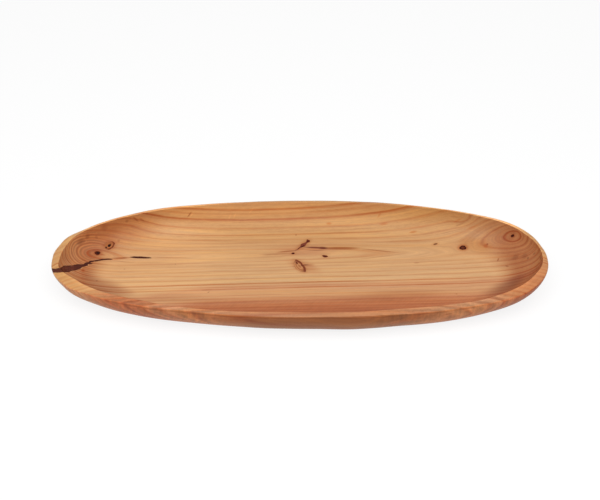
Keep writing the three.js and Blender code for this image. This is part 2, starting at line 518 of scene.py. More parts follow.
class TrayCarver:
    """Seats every ring of the tray's skin, with the small unevenness that hand tools leave."""

    def __init__(self, form: TrayForm) -> None:
        """Keep the form and work out what every ring needs.

        Args:
            form: The tray's form.
        """
        self.form = form
        self.shift = form.centre_shift()
        count = form.points_round
        self.bearings = [math.tau * index / count for index in range(count)]

    def seat(self, bearing: float, end_inset: float, side_inset: float, height: float) -> Vector:
        """Give a point of the skin in millimetres.

        Args:
            bearing: The angle round the tray, in radians.
            end_inset: How far it is set in at the tips.
            side_inset: How far it is set in at the sides.
            height: Its height.

        Returns:
            The point.
        """
        x, y = self.form.raw_point(bearing, end_inset, side_inset)
        return Vector((x, y + self.shift, height))

    def outward(self, bearing: float) -> Vector:
        """Give the level direction away from the tray.

        Args:
            bearing: The angle round the tray, in radians.

        Returns:
            The direction, of length 1.
        """
        step = 0.002
        ahead = self.seat(bearing + step, 0.0, 0.0, 0.0)
        behind = self.seat(bearing - step, 0.0, 0.0, 0.0)
        along = (ahead - behind).normalized()
        return Vector((along.y, -along.x, 0.0))

    def stood_out(self, point: Vector, bearing: float, stands: float) -> Vector:
        """Push a point outwards, and keep it within the tray's length and width.

        Args:
            point: The point in millimetres.
            bearing: Its bearing in radians.
            stands: How far it is pushed.

        Returns:
            The point in metres.
        """
        point = point + self.outward(bearing) * stands
        half = self.form.length / 2.0 - self.form.margin
        half_width = self.form.width / 2.0 - self.form.margin
        point.x = min(max(point.x, -half), half)
        point.y = min(max(point.y, -half_width), half_width)
        return point * MM

    def outer_loop(self, down: float) -> Ring:
        """Give a ring of the outer wall.

        Args:
            down: The share of the way from under the rim, 0, to the foot's edge, 1.

        Returns:
            The ring in metres.
        """
        form = self.form
        run = form.outer_run.share(down)
        loop = []
        for bearing in self.bearings:
            top = form.height - around(form.rim_falls, bearing) - form.rim_outer_round
            height = top * (1.0 - math.sin(down * math.pi / 2.0))
            point = self.seat(bearing, form.outer_run.end * run, form.outer_run.side * run, height)
            belly = around(form.bellies, bearing) * math.sin(down * math.pi)
            stands = form.hand_cut(bearing) * (1.0 - down) + belly
            stands += form.outer_adze.at(point) * (1.0 - down ** 2)
            stands += form.outer_plane.at(point) * (1.0 - down ** 2)
            loop.append(self.stood_out(point, bearing, stands))
        return loop

    def rim_loops(self) -> list[Ring]:
        """Give the rings over the rim, from its rounded outer edge to its rounded inner edge.

        Returns:
            The rings in metres.
        """
        form = self.form
        loops = []
        for step in range(1, form.round_steps + 1):
            turn = step / form.round_steps * math.pi / 2.0
            inset = form.rim_outer_round * (1.0 - math.cos(turn))
            loops.append(self._rim_loop(inset, 0.0, form.rim_outer_round * (1.0 - math.sin(turn))))
        for share in form.rim_stations:
            loops.append(self._rim_loop(0.0, share, 0.0))
        for step in range(form.round_steps):
            turn = step / form.round_steps * math.pi / 2.0
            inset = form.rim_inner_round * (1.0 - math.sin(turn))
            loops.append(self._rim_loop(-inset, 1.0, form.rim_inner_round * (1.0 - math.cos(turn))))
        return loops

    def _rim_loop(self, inset: float, share: float, drop: float) -> Ring:
        """Give one ring over the rim.

        Args:
            inset: How far it is set in from the rounding it belongs to.
            share: The share of the way over the rim, from its outer edge to its inner edge.
            drop: How far it lies under the rim's top at that share.

        Returns:
            The ring in metres.
        """
        form = self.form
        loop = []
        for bearing in self.bearings:
            width = around(form.rim_widths, bearing)
            from_edge = form.rim_outer_round + share * (width - form.rim_outer_round) if share else 0.0
            set_in = from_edge + inset
            across = min(max(set_in / width, 0.0), 1.0)
            fall = around(form.rim_falls, bearing) * (1.0 - across) ** form.rim_fall_power
            point = self.seat(bearing, set_in, set_in, form.height - fall - drop)
            stands = form.hand_cut(bearing) * (1.0 - form.rim_steadiness * across)
            stands += form.rim_knife.at(point) + form.rim_sway.at(point + Vector(form.rim_sway_from))
            point.z -= form.rim_wear.sunk(point)
            loop.append(self.stood_out(point, bearing, stands))
        return loop

    def hollow_loop(self, down: float) -> Ring:
        """Give a ring of the hollow's wall.

        Args:
            down: The share of the way from the rim, 0, to the floor's edge, 1.

        Returns:
            The ring in metres.
        """
        form = self.form
        run = form.hollow_run.share(down)
        top = form.height - form.rim_inner_round
        height = top - (top - form.floor_thickness) * math.sin(down * math.pi / 2.0)
        up = 1.0 - down
        loop = []
        for bearing in self.bearings:
            width = around(form.rim_widths, bearing)
            spare = form.cad_rim_width - width
            end_inset = width + (form.hollow_run.end + spare) * run
            side_inset = width + (form.hollow_run.side + spare) * run
            point = self.seat(bearing, end_inset, side_inset, height)
            stands = form.hand_cut(bearing) * form.hollow_follow * up
            stands += form.hollow_gouge.at(point) * up + form.hollow_sway.at(point) * up
            point.z += form.floor_sweep.at(point) * down - form.hollow_sink * up
            loop.append(self.stood_out(point, bearing, stands))
        return loop

    def level_loops(self, edge: Ring, spine_half: float, steps: int, sweep: ToolMarks) -> list[Ring]:
        """Give the rings that close a level face onto a line along its middle.

        Args:
            edge: The ring round the face, in metres.
            spine_half: Half the length of the line.
            steps: How many rings lead to it.
            sweep: How uneven the face is.

        Returns:
            The rings, from the edge inwards. The last one lies on the line.
        """
        form = self.form
        height = sum(point.z for point in edge) / len(edge)
        loops = []
        for step in range(1, steps + 1):
            share = step / steps
            loop = []
            for bearing, rim_point in zip(self.bearings, edge):
                along = form.full(math.cos(bearing))
                aside = self.shift - form.spine_bow * along ** 2
                middle = Vector((form.widest_station + spine_half * along, aside, 0.0)) * MM
                point = rim_point.lerp(middle, share)
                flat = ease(share, 0.0, form.level_by)
                rest = height + sweep.at(point / MM) * MM
                point.z = rim_point.z * (1.0 - flat) + rest * flat
                loop.append(point)
            loops.append(loop)
        return loops

    def loops(self) -> list[Ring]:
        """Give every ring of the skin, from the middle of the foot round to the middle of the floor.

        Returns:
            The rings in metres.
        """
        form = self.form
        foot_edge = [Vector((point.x, point.y, 0.0)) for point in self.outer_loop(1.0)]
        foot = self.level_loops(foot_edge, form.foot_spine, form.foot_steps, form.foot_sweep)
        outer = [self.outer_loop(step / form.outer_steps) for step in range(form.outer_steps - 1, -1, -1)]
        hollow = [self.hollow_loop(step / form.hollow_steps) for step in range(1, form.hollow_steps + 1)]
        floor = self.level_loops(hollow[-1], form.floor_spine, form.floor_steps, form.floor_sweep)
        return [*reversed(foot), foot_edge, *outer, *self.rim_loops(), *hollow, *floor]


# The inserts


@dataclass(frozen=True)
class Insert:
    """A solid that fills a pocket of the hollow: a dead knot, an end of the pith or a filled split."""

    name: str
    x: float
    y: float
    half_length: float
    half_width: float
    turn: float
    depth: float
    shape: KnotShape = KnotShape.OVAL
    open_core: Triple | None = None
    checks: int = 0
    halo: float = 0.5

    def rim(self, growth: float, points: int) -> Ring:
        """Give the insert's outline in its own plane.

        Args:
            growth: How far the outline stands outside the insert.
            points: How many points it has.

        Returns:
            The outline in millimetres, with the insert's length along X.
        """
        outline = []
        for index in range(points):
            angle = math.tau * index / points
            along = math.cos(angle)
            lobes = 0.07 * math.sin(3.0 * angle + self.x)
            teeth = 0.04 * math.sin(7.0 * angle + self.y)
            ragged = 1.0 + lobes + teeth
            reach = self.half_length * ragged + growth
            width = self.half_width * ragged * self.shape.swell(along) + growth
            outline.append(Vector((reach * along, width * math.sin(angle), 0.0)))
        return outline


KNOTS = (
    Insert("left_pith_core", -251.0, 34.0, 3.9, 2.7, 13.0, 4.0, checks=3, halo=0.6),
    Insert("left_wall_knot", -237.3, 46.9, 7.0, 4.8, 33.0, 4.0, open_core=(3.0, 1.6, 46.0), checks=1),
    Insert("centre_spike_knot", 4.8, 59.6, 11.8, 3.3, 49.0, 5.0, KnotShape.SPIKE, halo=0.45),
    Insert("centre_oval_knot", -0.2, 18.4, 12.6, 5.5, -64.0, 5.0, halo=0.5),
    Insert("left_pin_knot", -8.4, 42.8, 2.1, 1.6, 12.0, 3.0, halo=0.3),
    Insert("right_pin_knot", 31.4, 37.2, 3.6, 2.0, -14.0, 3.0, halo=0.3),
    Insert("small_floor_knot", 170.4, 58.8, 2.7, 0.8, 10.0, 3.0, halo=0.3),
    Insert("right_floor_knot", 204.2, 51.0, 4.3, 3.1, -6.0, 4.0, checks=3, halo=0.8),
    Insert("right_pith_core", 264.2, 49.1, 2.7, 1.8, 24.0, 4.0, halo=0.35),
)
CRACK = "end_crack_fill"
SPLIT = Insert("floor_split_fill", -197.0, 34.7, 13.3, 2.0, -2.5, 3.0, KnotShape.SLIVER)


@dataclass(frozen=True)
class Seat:
    """Where an insert sits on the hollow: a point in metres and the surface's direction there."""

    point: Vector
    normal: Vector

    def frame(self, turn: float) -> Matrix:
        """Give the matrix from an insert's own plane to its seat.

        Args:
            turn: The insert's turn about the surface's direction, in degrees.

        Returns:
            The matrix.
        """
        along = Vector((1.0, 0.0, 0.0))
        along = (along - self.normal * along.dot(self.normal)).normalized()
        across = self.normal.cross(along)
        basis = Matrix((along, across, self.normal)).transposed().to_4x4()
        return Matrix.Translation(self.point) @ basis @ Matrix.Rotation(math.radians(turn), 4, "Z")


@dataclass(frozen=True)
class InsertMaker:
    """Cuts pockets into the block and makes what fills them."""

    look_from: float = 100.0
    pass_through: float = 5.0
    shoulder_at: float = 0.4
    shoulder: float = 0.94
    taper: float = 0.7
    points: int = 48
    clearance: float = 0.1

    def seat_on(self, block: Piece, x: float, y: float) -> Seat:
        """Find the surface of the hollow under a place.

        Args:
            block: The uncut block.
            x: The place along the tray.
            y: The place across it.

        Returns:
            The seat.
        """
        start = Vector((x * MM, y * MM, self.look_from * MM))
        _, point, normal, _ = block.ray_cast(start, Vector((0.0, 0.0, -1.0)))
        return Seat(point, normal)

    def plug(self, insert: Insert, seat: Seat, growth: float) -> Piece:
        """Model the blank that an insert or its pocket is cut with.

        Args:
            insert: The insert.
            seat: Where it sits.
            growth: How far the blank stands outside the insert.

        Returns:
            The blank.
        """
        frame = seat.frame(insert.turn)
        outline = insert.rim(growth, self.points)
        levels = (
            (self.pass_through, 1.0),
            (0.0, 1.0),
            (-self.shoulder_at * insert.depth, self.shoulder),
            (-insert.depth - growth, self.taper),
        )
        loops = []
        for height, scale in levels:
            lift = Vector((0.0, 0.0, height))
            loops.append([frame @ ((point * scale + lift) * MM) for point in outline])
        return skin_over(f"{insert.name}_blank", loops)


@dataclass(frozen=True)
class EndCrack:
    """A face's points are a y and a height above the floor.
    """

    start: float = -312.0
    length: float = 86.0
    steps: int = 18
    upper_face: Stops = (
        (-25.5, 38.0), (-23.6, 32.0), (-17.6, 27.6), (-11.1, 24.4), (-8.4, 23.5), (-4.6, 20.5),
        (-1.4, 18.0), (2.1, 14.9), (4.3, 13.8), (6.4, 12.9), (9.0, 10.8), (10.5, 9.2), (12.3, 8.1),
        (14.0, 8.0), (15.6, 7.9), (18.0, 6.6), (19.9, 6.8), (23.6, 4.9), (25.6, 4.3), (27.6, 3.7),
        (30.3, 2.1),
    )
    lower_face: Stops = (
        (29.4, 1.6), (26.2, 3.1), (22.6, 4.3), (21.1, 5.0), (19.2, 5.9), (18.1, 5.7), (18.2, 4.6),
        (16.3, 5.4), (14.9, 6.3), (12.6, 5.9), (10.3, 6.7), (7.6, 8.0), (3.3, 8.6), (-0.5, 10.5),
        (-4.1, 12.2), (-8.1, 14.8), (-11.3, 16.0), (-15.4, 19.4), (-31.2, 32.5), (-33.8, 38.0),
    )
    across: Triple = (0.0, 0.57, 0.82)
    splinter: float = 0.45
    splintered: tuple[float, float] = (1.0, 9.0)
    long_splinter: float = 3.1
    short_splinter: float = 1.2
    short_share: float = 0.4
    gap: float = 0.2
    pieces_per_side: int = 2

    def section(self, floor: float) -> Ring:
        """Give the crack's outline across the tray, with its sides split into short splinters.

        Args:
            floor: The floor's height.

        Returns:
            The outline in millimetres.
        """
        corners = [Vector((0.0, y, floor + rise)) for y, rise in (*self.upper_face, *self.lower_face)]
        outline = []
        for corner, following in zip(corners, [*corners[1:], corners[0]]):
            for step in range(self.pieces_per_side):
                outline.append(corner.lerp(following, step / self.pieces_per_side))
        return outline

    def loops(self, floor: float, growth: float) -> list[Ring]:
        """Give the rings of the crack's blank, from outside the tip inwards.

        Args:
            floor: The floor's height.
            growth: How far the blank stands outside the filler.

        Returns:
            The rings in metres.
        """
        section = self.section(floor)
        upper_count = len(self.upper_face) * self.pieces_per_side
        across = Vector(self.across)
        loops = []
        for step in range(self.steps + 1):
            x = self.start + self.length * step / self.steps
            loop = []
            for index, point in enumerate(section):
                place = Vector((x, point.y, point.z))
                side = 1.0 if index < upper_count else -1.0
                rough = self.splinter * ease(point.z - floor, *self.splintered)
                short = self.short_share * noise.noise(place / self.short_splinter)
                splinter = rough * (noise.noise(place / self.long_splinter) + short)
                loop.append((place + across * (splinter + side * growth)) * MM)
            loops.append(loop)
        return loops


# The shader language


class Wire:
    """An output socket of a finish's nodes, which takes part in expressions."""

    def __init__(self, finish: "FinishNodes", socket: bpy.types.NodeSocket) -> None:
        """Wrap an output socket."""
        self.finish = finish
        self.socket = socket


class Signal(Wire):
    """A number that varies over a surface."""

    def _math(self, operation: str, *values: "Number") -> "Signal":
        """Add a Math node over these values."""
        return self.finish.signal("ShaderNodeMath", {"operation": operation}, dict(enumerate(values)))

    def __add__(self, other: "Number") -> "Signal":
        """Add."""
        return self._math("ADD", self, other)

    __radd__ = __add__

    def __sub__(self, other: "Number") -> "Signal":
        """Subtract."""
        return self._math("SUBTRACT", self, other)

    def __rsub__(self, other: "Number") -> "Signal":
        """Subtract from a number."""
        return self._math("SUBTRACT", other, self)

    def __mul__(self, other: "Number") -> "Signal":
        """Multiply."""
        return self._math("MULTIPLY", self, other)

    __rmul__ = __mul__

    def __truediv__(self, other: "Number") -> "Signal":
        """Divide."""
        return self._math("DIVIDE", self, other)

    def __rtruediv__(self, other: "Number") -> "Signal":
        """Divide a number by this value."""
        return self._math("DIVIDE", other, self)

    def absolute(self) -> "Signal":
        """Drop the sign."""
        return self._math("ABSOLUTE", self)

    def rounded(self) -> "Signal":
        """Go to the nearest whole number."""
        return self._math("ROUND", self)

    def larger(self, other: "Number") -> "Signal":
        """Take the larger of two values."""
        return self._math("MAXIMUM", self, other)

    def smaller(self, other: "Number") -> "Signal":
        """Take the smaller of two values."""
        return self._math("MINIMUM", self, other)

    def root(self) -> "Signal":
        """Take the square root."""
        return self._math("SQRT", self)

    def sine(self) -> "Signal":
        """Take the sine of an angle in radians."""
        return self._math("SINE", self)

    def exponential(self) -> "Signal":
        """Raise e to this value."""
        return self._math("EXPONENT", self)

    def eased(self, low: float, high: float) -> "Signal":
        """Rise smoothly from 0 to 1.

        Args:
            low: Where it is 0.
            high: Where it is 1. It falls along the axis where this is the smaller.

        Returns:
            The share.
        """
        if low > high:
            return 1.0 - self.eased(high, low)
        sockets = {"Value": self, "From Min": low, "From Max": high}
        return self.finish.signal("ShaderNodeMapRange", {"interpolation_type": "SMOOTHSTEP"}, sockets)

    def bell(self, middle: float, spread: float) -> "Signal":
        """Give a bell curve that is 1 at its middle."""
        offset = (self - middle) / spread
        return (offset * offset * -1.0).exponential()

    def curve(self, points: list[tuple[float, float]]) -> "Signal":
        """Read this value, from 0 to 1, on a curve of straight stretches."""
        return self.finish.signal("ShaderNodeFloatCurve", {"points": points}, {"Value": self})

    def toned(self, stops: list[tuple[float, Rgba]]) -> "Tone":
        """Read this value, from 0 to 1, on a ramp of colours."""
        made = self.finish.node("ShaderNodeValToRGB", {"stops": stops}, {0: self})
        return Tone(self.finish, made.outputs[0])


Number = Signal | float


def strongest(signals: Iterable[Signal]) -> Signal:
    """Give the largest of some values."""
    return reduce(Signal.larger, signals)


class Place(Wire):
    """A point or a direction that varies over a surface."""

    def _vector(self, operation: str, other: "Triple | Place") -> bpy.types.Node:
        """Add a Vector Math node over this point and another."""
        return self.finish.node("ShaderNodeVectorMath", {"operation": operation}, {0: self, 1: other})

    def scaled(self, x: float, y: float, z: float) -> "Place":
        """Stretch the point along the axes."""
        return Place(self.finish, self._vector("MULTIPLY", (x, y, z)).outputs[0])

    def parts(self) -> tuple[Signal, Signal, Signal]:
        """Split the point into its x, y and z."""
        made = self.finish.node("ShaderNodeSeparateXYZ", {}, {0: self})
        return tuple(Signal(self.finish, socket) for socket in made.outputs)

    def seen_from(self, sizes: Triple, turns: Triple, centre: Triple = (0.0, 0.0, 0.0)) -> "Place":
        """Give the point in a small frame of its own, where the sizes become 1.

        Args:
            sizes: The small frame's half sizes.
            turns: Its turns about X, Y and Z in radians.
            centre: Its middle.

        Returns:
            The point in the small frame.
        """
        sockets = {"Vector": self, "Location": centre, "Rotation": turns, "Scale": sizes}
        made = self.finish.node("ShaderNodeMapping", {"vector_type": "TEXTURE"}, sockets)
        return Place(self.finish, made.outputs[0])

    def off_from(self, centre: Triple, sizes: Triple, turn: float = 0.0, tilt: float = 0.0) -> Signal:
        """Give how far the point lies from the middle of an oval, where 1 is the oval's own edge.

        Args:
            centre: The oval's middle.
            sizes: Its half sizes.
            turn: Its turn seen from above, in degrees.
            tilt: How far its far end is lifted, in degrees.

        Returns:
            The distance, as a share of the oval's half sizes.
        """
        offset = Place(self.finish, self._vector("SUBTRACT", centre).outputs[0])
        axes = Euler((0.0, -math.radians(tilt), math.radians(turn))).to_matrix().transposed()
        shares = []
        for axis, size in zip(axes, sizes):
            made = offset._vector("DOT_PRODUCT", axis / size)
            shares.append(Signal(self.finish, made.outputs["Value"]))
        return self.finish.point(*shares).length()

    def length(self) -> Signal:
        """Give the point's distance from the origin."""
        return self.finish.signal("ShaderNodeVectorMath", {"operation": "LENGTH"}, {0: self}, "Value")

    def noise(self, detail: float = 2.0, roughness: float = 0.5) -> Signal:
        """Give soft noise at the point, about 0 and mostly within 0.5 either way."""
        sockets = {"Vector": self, "Scale": 1.0, "Detail": detail, "Roughness": roughness}
        return self.finish.signal("ShaderNodeTexNoise", {}, sockets) - 0.5


class Tone(Wire):
    """A colour that varies over a surface."""

    def _mixed(self, blend: str, other: "Tone | Rgba", share: Number) -> "Tone":
        """Add a Mix node of colours.

        Args:
            blend: The way of mixing.
            other: The other colour.
            share: Its share.

        Returns:
            The mixed colour.
        """
        settings = {"data_type": "RGBA", "blend_type": blend, "clamp_factor": True}
        made = self.finish.node("ShaderNodeMix", settings, {0: share, 6: self, 7: other})
        return Tone(self.finish, made.outputs[2])

    def towards(self, other: "Tone | Rgba", share: Number) -> "Tone":
        """Blend to another colour by a share."""
        return self._mixed("MIX", other, share)

    def stained(self, tint: Rgba, share: Number) -> "Tone":
        """Multiply by a tint, by a share."""
        return self._mixed("MULTIPLY", tint, share)

    def lit(self, factor: Signal) -> "Tone":
        """Make the colour brighter or darker by a factor."""
        made = self.finish.node("ShaderNodeVectorMath", {"operation": "SCALE"}, {0: self, "Scale": factor})
        return Tone(self.finish, made.outputs[0])


class FinishNodes:
    """The nodes of one material or of the world."""

    def __init__(self, owner: bpy.types.Material | bpy.types.World) -> None:
        """Empty the owner's nodes.

        Args:
            owner: The material or the world.
        """
        self.owner = owner
        owner.use_nodes = True
        self.tree = owner.node_tree
        self.tree.nodes.clear()

    def node(self, kind: str, settings: dict, inputs: dict) -> bpy.types.Node:
        """Add a node.

        Args:
            kind: The node's type.
            settings: What is set before its sockets: an operation, a curve's points, a ramp's stops.
            inputs: What each socket takes: a number, a colour, a wrapped socket or a shader's socket.

        Returns:
            The node.
        """
        made = self.tree.nodes.new(kind)
        for name, value in settings.items():
            if name == "points":
                self._bend(made, value)
            elif name == "stops":
                self._tone(made, value)
            else:
                setattr(made, name, value)
        for socket, value in inputs.items():
            if isinstance(value, Wire):
                value = value.socket
            if isinstance(value, bpy.types.NodeSocket):
                self.tree.links.new(value, made.inputs[socket])
            else:
                made.inputs[socket].default_value = value
        return made

    def _bend(self, made: bpy.types.Node, points: list[tuple[float, float]]) -> None:
        """Give a curve node its points, joined by straight stretches.

        Args:
            made: The node.
            points: The points, each an input and what it becomes.
        """
        curve = made.mapping.curves[0]
        curve.points[0].location = points[0]
        curve.points[1].location = points[-1]
        for x, y in points[1:-1]:
            curve.points.new(x, y)
        for point in curve.points:
            point.handle_type = "VECTOR"
        made.mapping.update()

    def _tone(self, made: bpy.types.Node, stops: list[tuple[float, Rgba]]) -> None:
        """Give a ramp its stops.

        Args:
            made: The node.
            stops: The stops, each an input and its colour.
        """
        elements = made.color_ramp.elements
        elements[0].position, elements[0].color = stops[0]
        elements[1].position, elements[1].color = stops[-1]
        for position, colour in stops[1:-1]:
            elements.new(position).color = colour

    def signal(self, kind: str, settings: dict, inputs: dict, out: int | str = 0) -> Signal:
        """Add a node and wrap one of its outputs as a number."""
        return Signal(self, self.node(kind, settings, inputs).outputs[out])

    def where(self) -> Place:
        """Give the place on the object in millimetres."""
        made = self.node("ShaderNodeTexCoord", {}, {})
        return Place(self, made.outputs["Object"]).scaled(1.0 / MM, 1.0 / MM, 1.0 / MM)

    def point(self, x: Number, y: Number, z: Number) -> Place:
        """Give a point made of three values."""
        return Place(self, self.node("ShaderNodeCombineXYZ", {}, {0: x, 1: y, 2: z}).outputs[0])

    def facing(self) -> Place:
        """Give the surface's direction in the object's own axes."""
        return Place(self, self.node("ShaderNodeTexCoord", {}, {}).outputs["Normal"])

    def plain(self, colour: Rgba) -> Tone:
        """Give one colour all over, to start a mix with.

        Args:
            colour: The colour.

        Returns:
            The colour, wrapped.
        """
        made = self.node("ShaderNodeRGB", {}, {})
        made.outputs[0].default_value = colour
        return Tone(self, made.outputs[0])

    def close(self, colour: Tone, roughness: Number, relief: Signal, depth: float, specular: float) -> None:
        """Close the material with a Principled shader.

        Args:
            colour: The surface's colour.
            roughness: Its roughness.
            relief: Its fine relief, about 0 to 1.
            depth: How high a relief of 1 stands, in millimetres.
            specular: How strongly it reflects, the same all over.
        """
        bump = self.node("ShaderNodeBump", {}, {"Height": relief, "Distance": depth * MM, "Strength": 1.0})
        sockets = {"Base Color": colour, "Roughness": roughness, "Normal": bump.outputs[0]}
        sockets["Specular IOR Level"] = specular
        shader = self.node("ShaderNodeBsdfPrincipled", {}, sockets)
        self.node("ShaderNodeOutputMaterial", {}, {"Surface": shader.outputs[0]})

    def close_by_view(self, output: str, lit: bpy.types.Node, shown: bpy.types.Node) -> None:
        """Close with one shader for the light on the object and another for what is seen.

        What is seen is what the camera sees straight, mirrored or through glass.

        Args:
            output: The type of the output node.
            lit: The shader that lights the object.
            shown: The shader that is seen.
        """
        path = self.node("ShaderNodeLightPath", {}, {})
        ways = (Signal(self, path.outputs[f"Is {way} Ray"]) for way in ("Camera", "Glossy", "Transmission"))
        sockets = {0: strongest(ways), 1: lit.outputs[0], 2: shown.outputs[0]}
        mixed = self.node("ShaderNodeMixShader", {}, sockets)
        self.node(output, {}, {"Surface": mixed.outputs[0]})

    def put_on(self, piece: Piece) -> None:
        """Make this material an object's only one."""
        piece.data.materials.clear()
        piece.data.materials.append(self.owner)


# The wood


@dataclass(frozen=True)
class Pith:
    """The middle of the trunk, a gentle curve along the tray that its growth rings lie round.

    Each of the bends is a step in y and in z near an end of the tray.
    """

    station: float = 250.0
    side: tuple[float, float, float] = (40.78, 7.78, -2.34)
    up: tuple[float, float, float] = (20.24, 7.87, 5.43)
    left_bend: tuple[float, float] = (2.8, -1.9)
    right_bend: tuple[float, float] = (1.3, -1.0)

    def distance(self, x: Signal, y: Signal, z: Signal) -> Signal:
        """Give the distance of a point from the pith, which is the radius of its growth ring.

        Args:
            x: The point's x.
            y: Its y.
            z: Its z.

        Returns:
            The distance.
        """
        share = x / self.station
        square = share * share
        left = x.eased(-215.0, -248.0)
        right = x.eased(200.0, 232.0)
        middle = share * self.side[1] + square * self.side[2] + self.side[0]
        level = share * self.up[1] + square * self.up[2] + self.up[0]
        side = y - (middle + left * self.left_bend[0] + right * self.right_bend[0])
        rise = z - (level + left * self.left_bend[1] + right * self.right_bend[1])
        return (side * side + rise * rise).root()


@dataclass(frozen=True)
class Swirl:
    """A place where the rings bend round a branch or a ripple in the trunk."""

    x: float
    y: float
    z: float
    along: float
    across: float
    push: float


class Stain(Enum):
    """A kind of small mark, with its tint."""

    DARK = (0.16, 0.08, 0.06, 1.0)
    BROWN = (0.56, 0.34, 0.24, 1.0)
    GREY = (0.60, 0.50, 0.45, 1.0)
    ORANGE = (0.90, 0.58, 0.34, 1.0)
    AMBER = (0.93, 0.82, 0.66, 1.0)
    PURPLE = (0.28, 0.11, 0.13, 1.0)
    # Pale streaks in the wood, and painted highlights on the near outer edge.
    PALE_AND_HIGHLIGHT = (1.2, 1.2, 1.16, 1.0)


@dataclass(frozen=True)
class Mark:
    """A small mark in the wood, or a painted highlight: an oval about its place, turned as seen from above,
    with its end lifted.
    """

    x: float
    y: float
    z: float
    half_length: float
    half_width: float
    turn: float = 0.0
    strength: float = 1.0
    half_height: float = 5.0
    tilt: float = 0.0


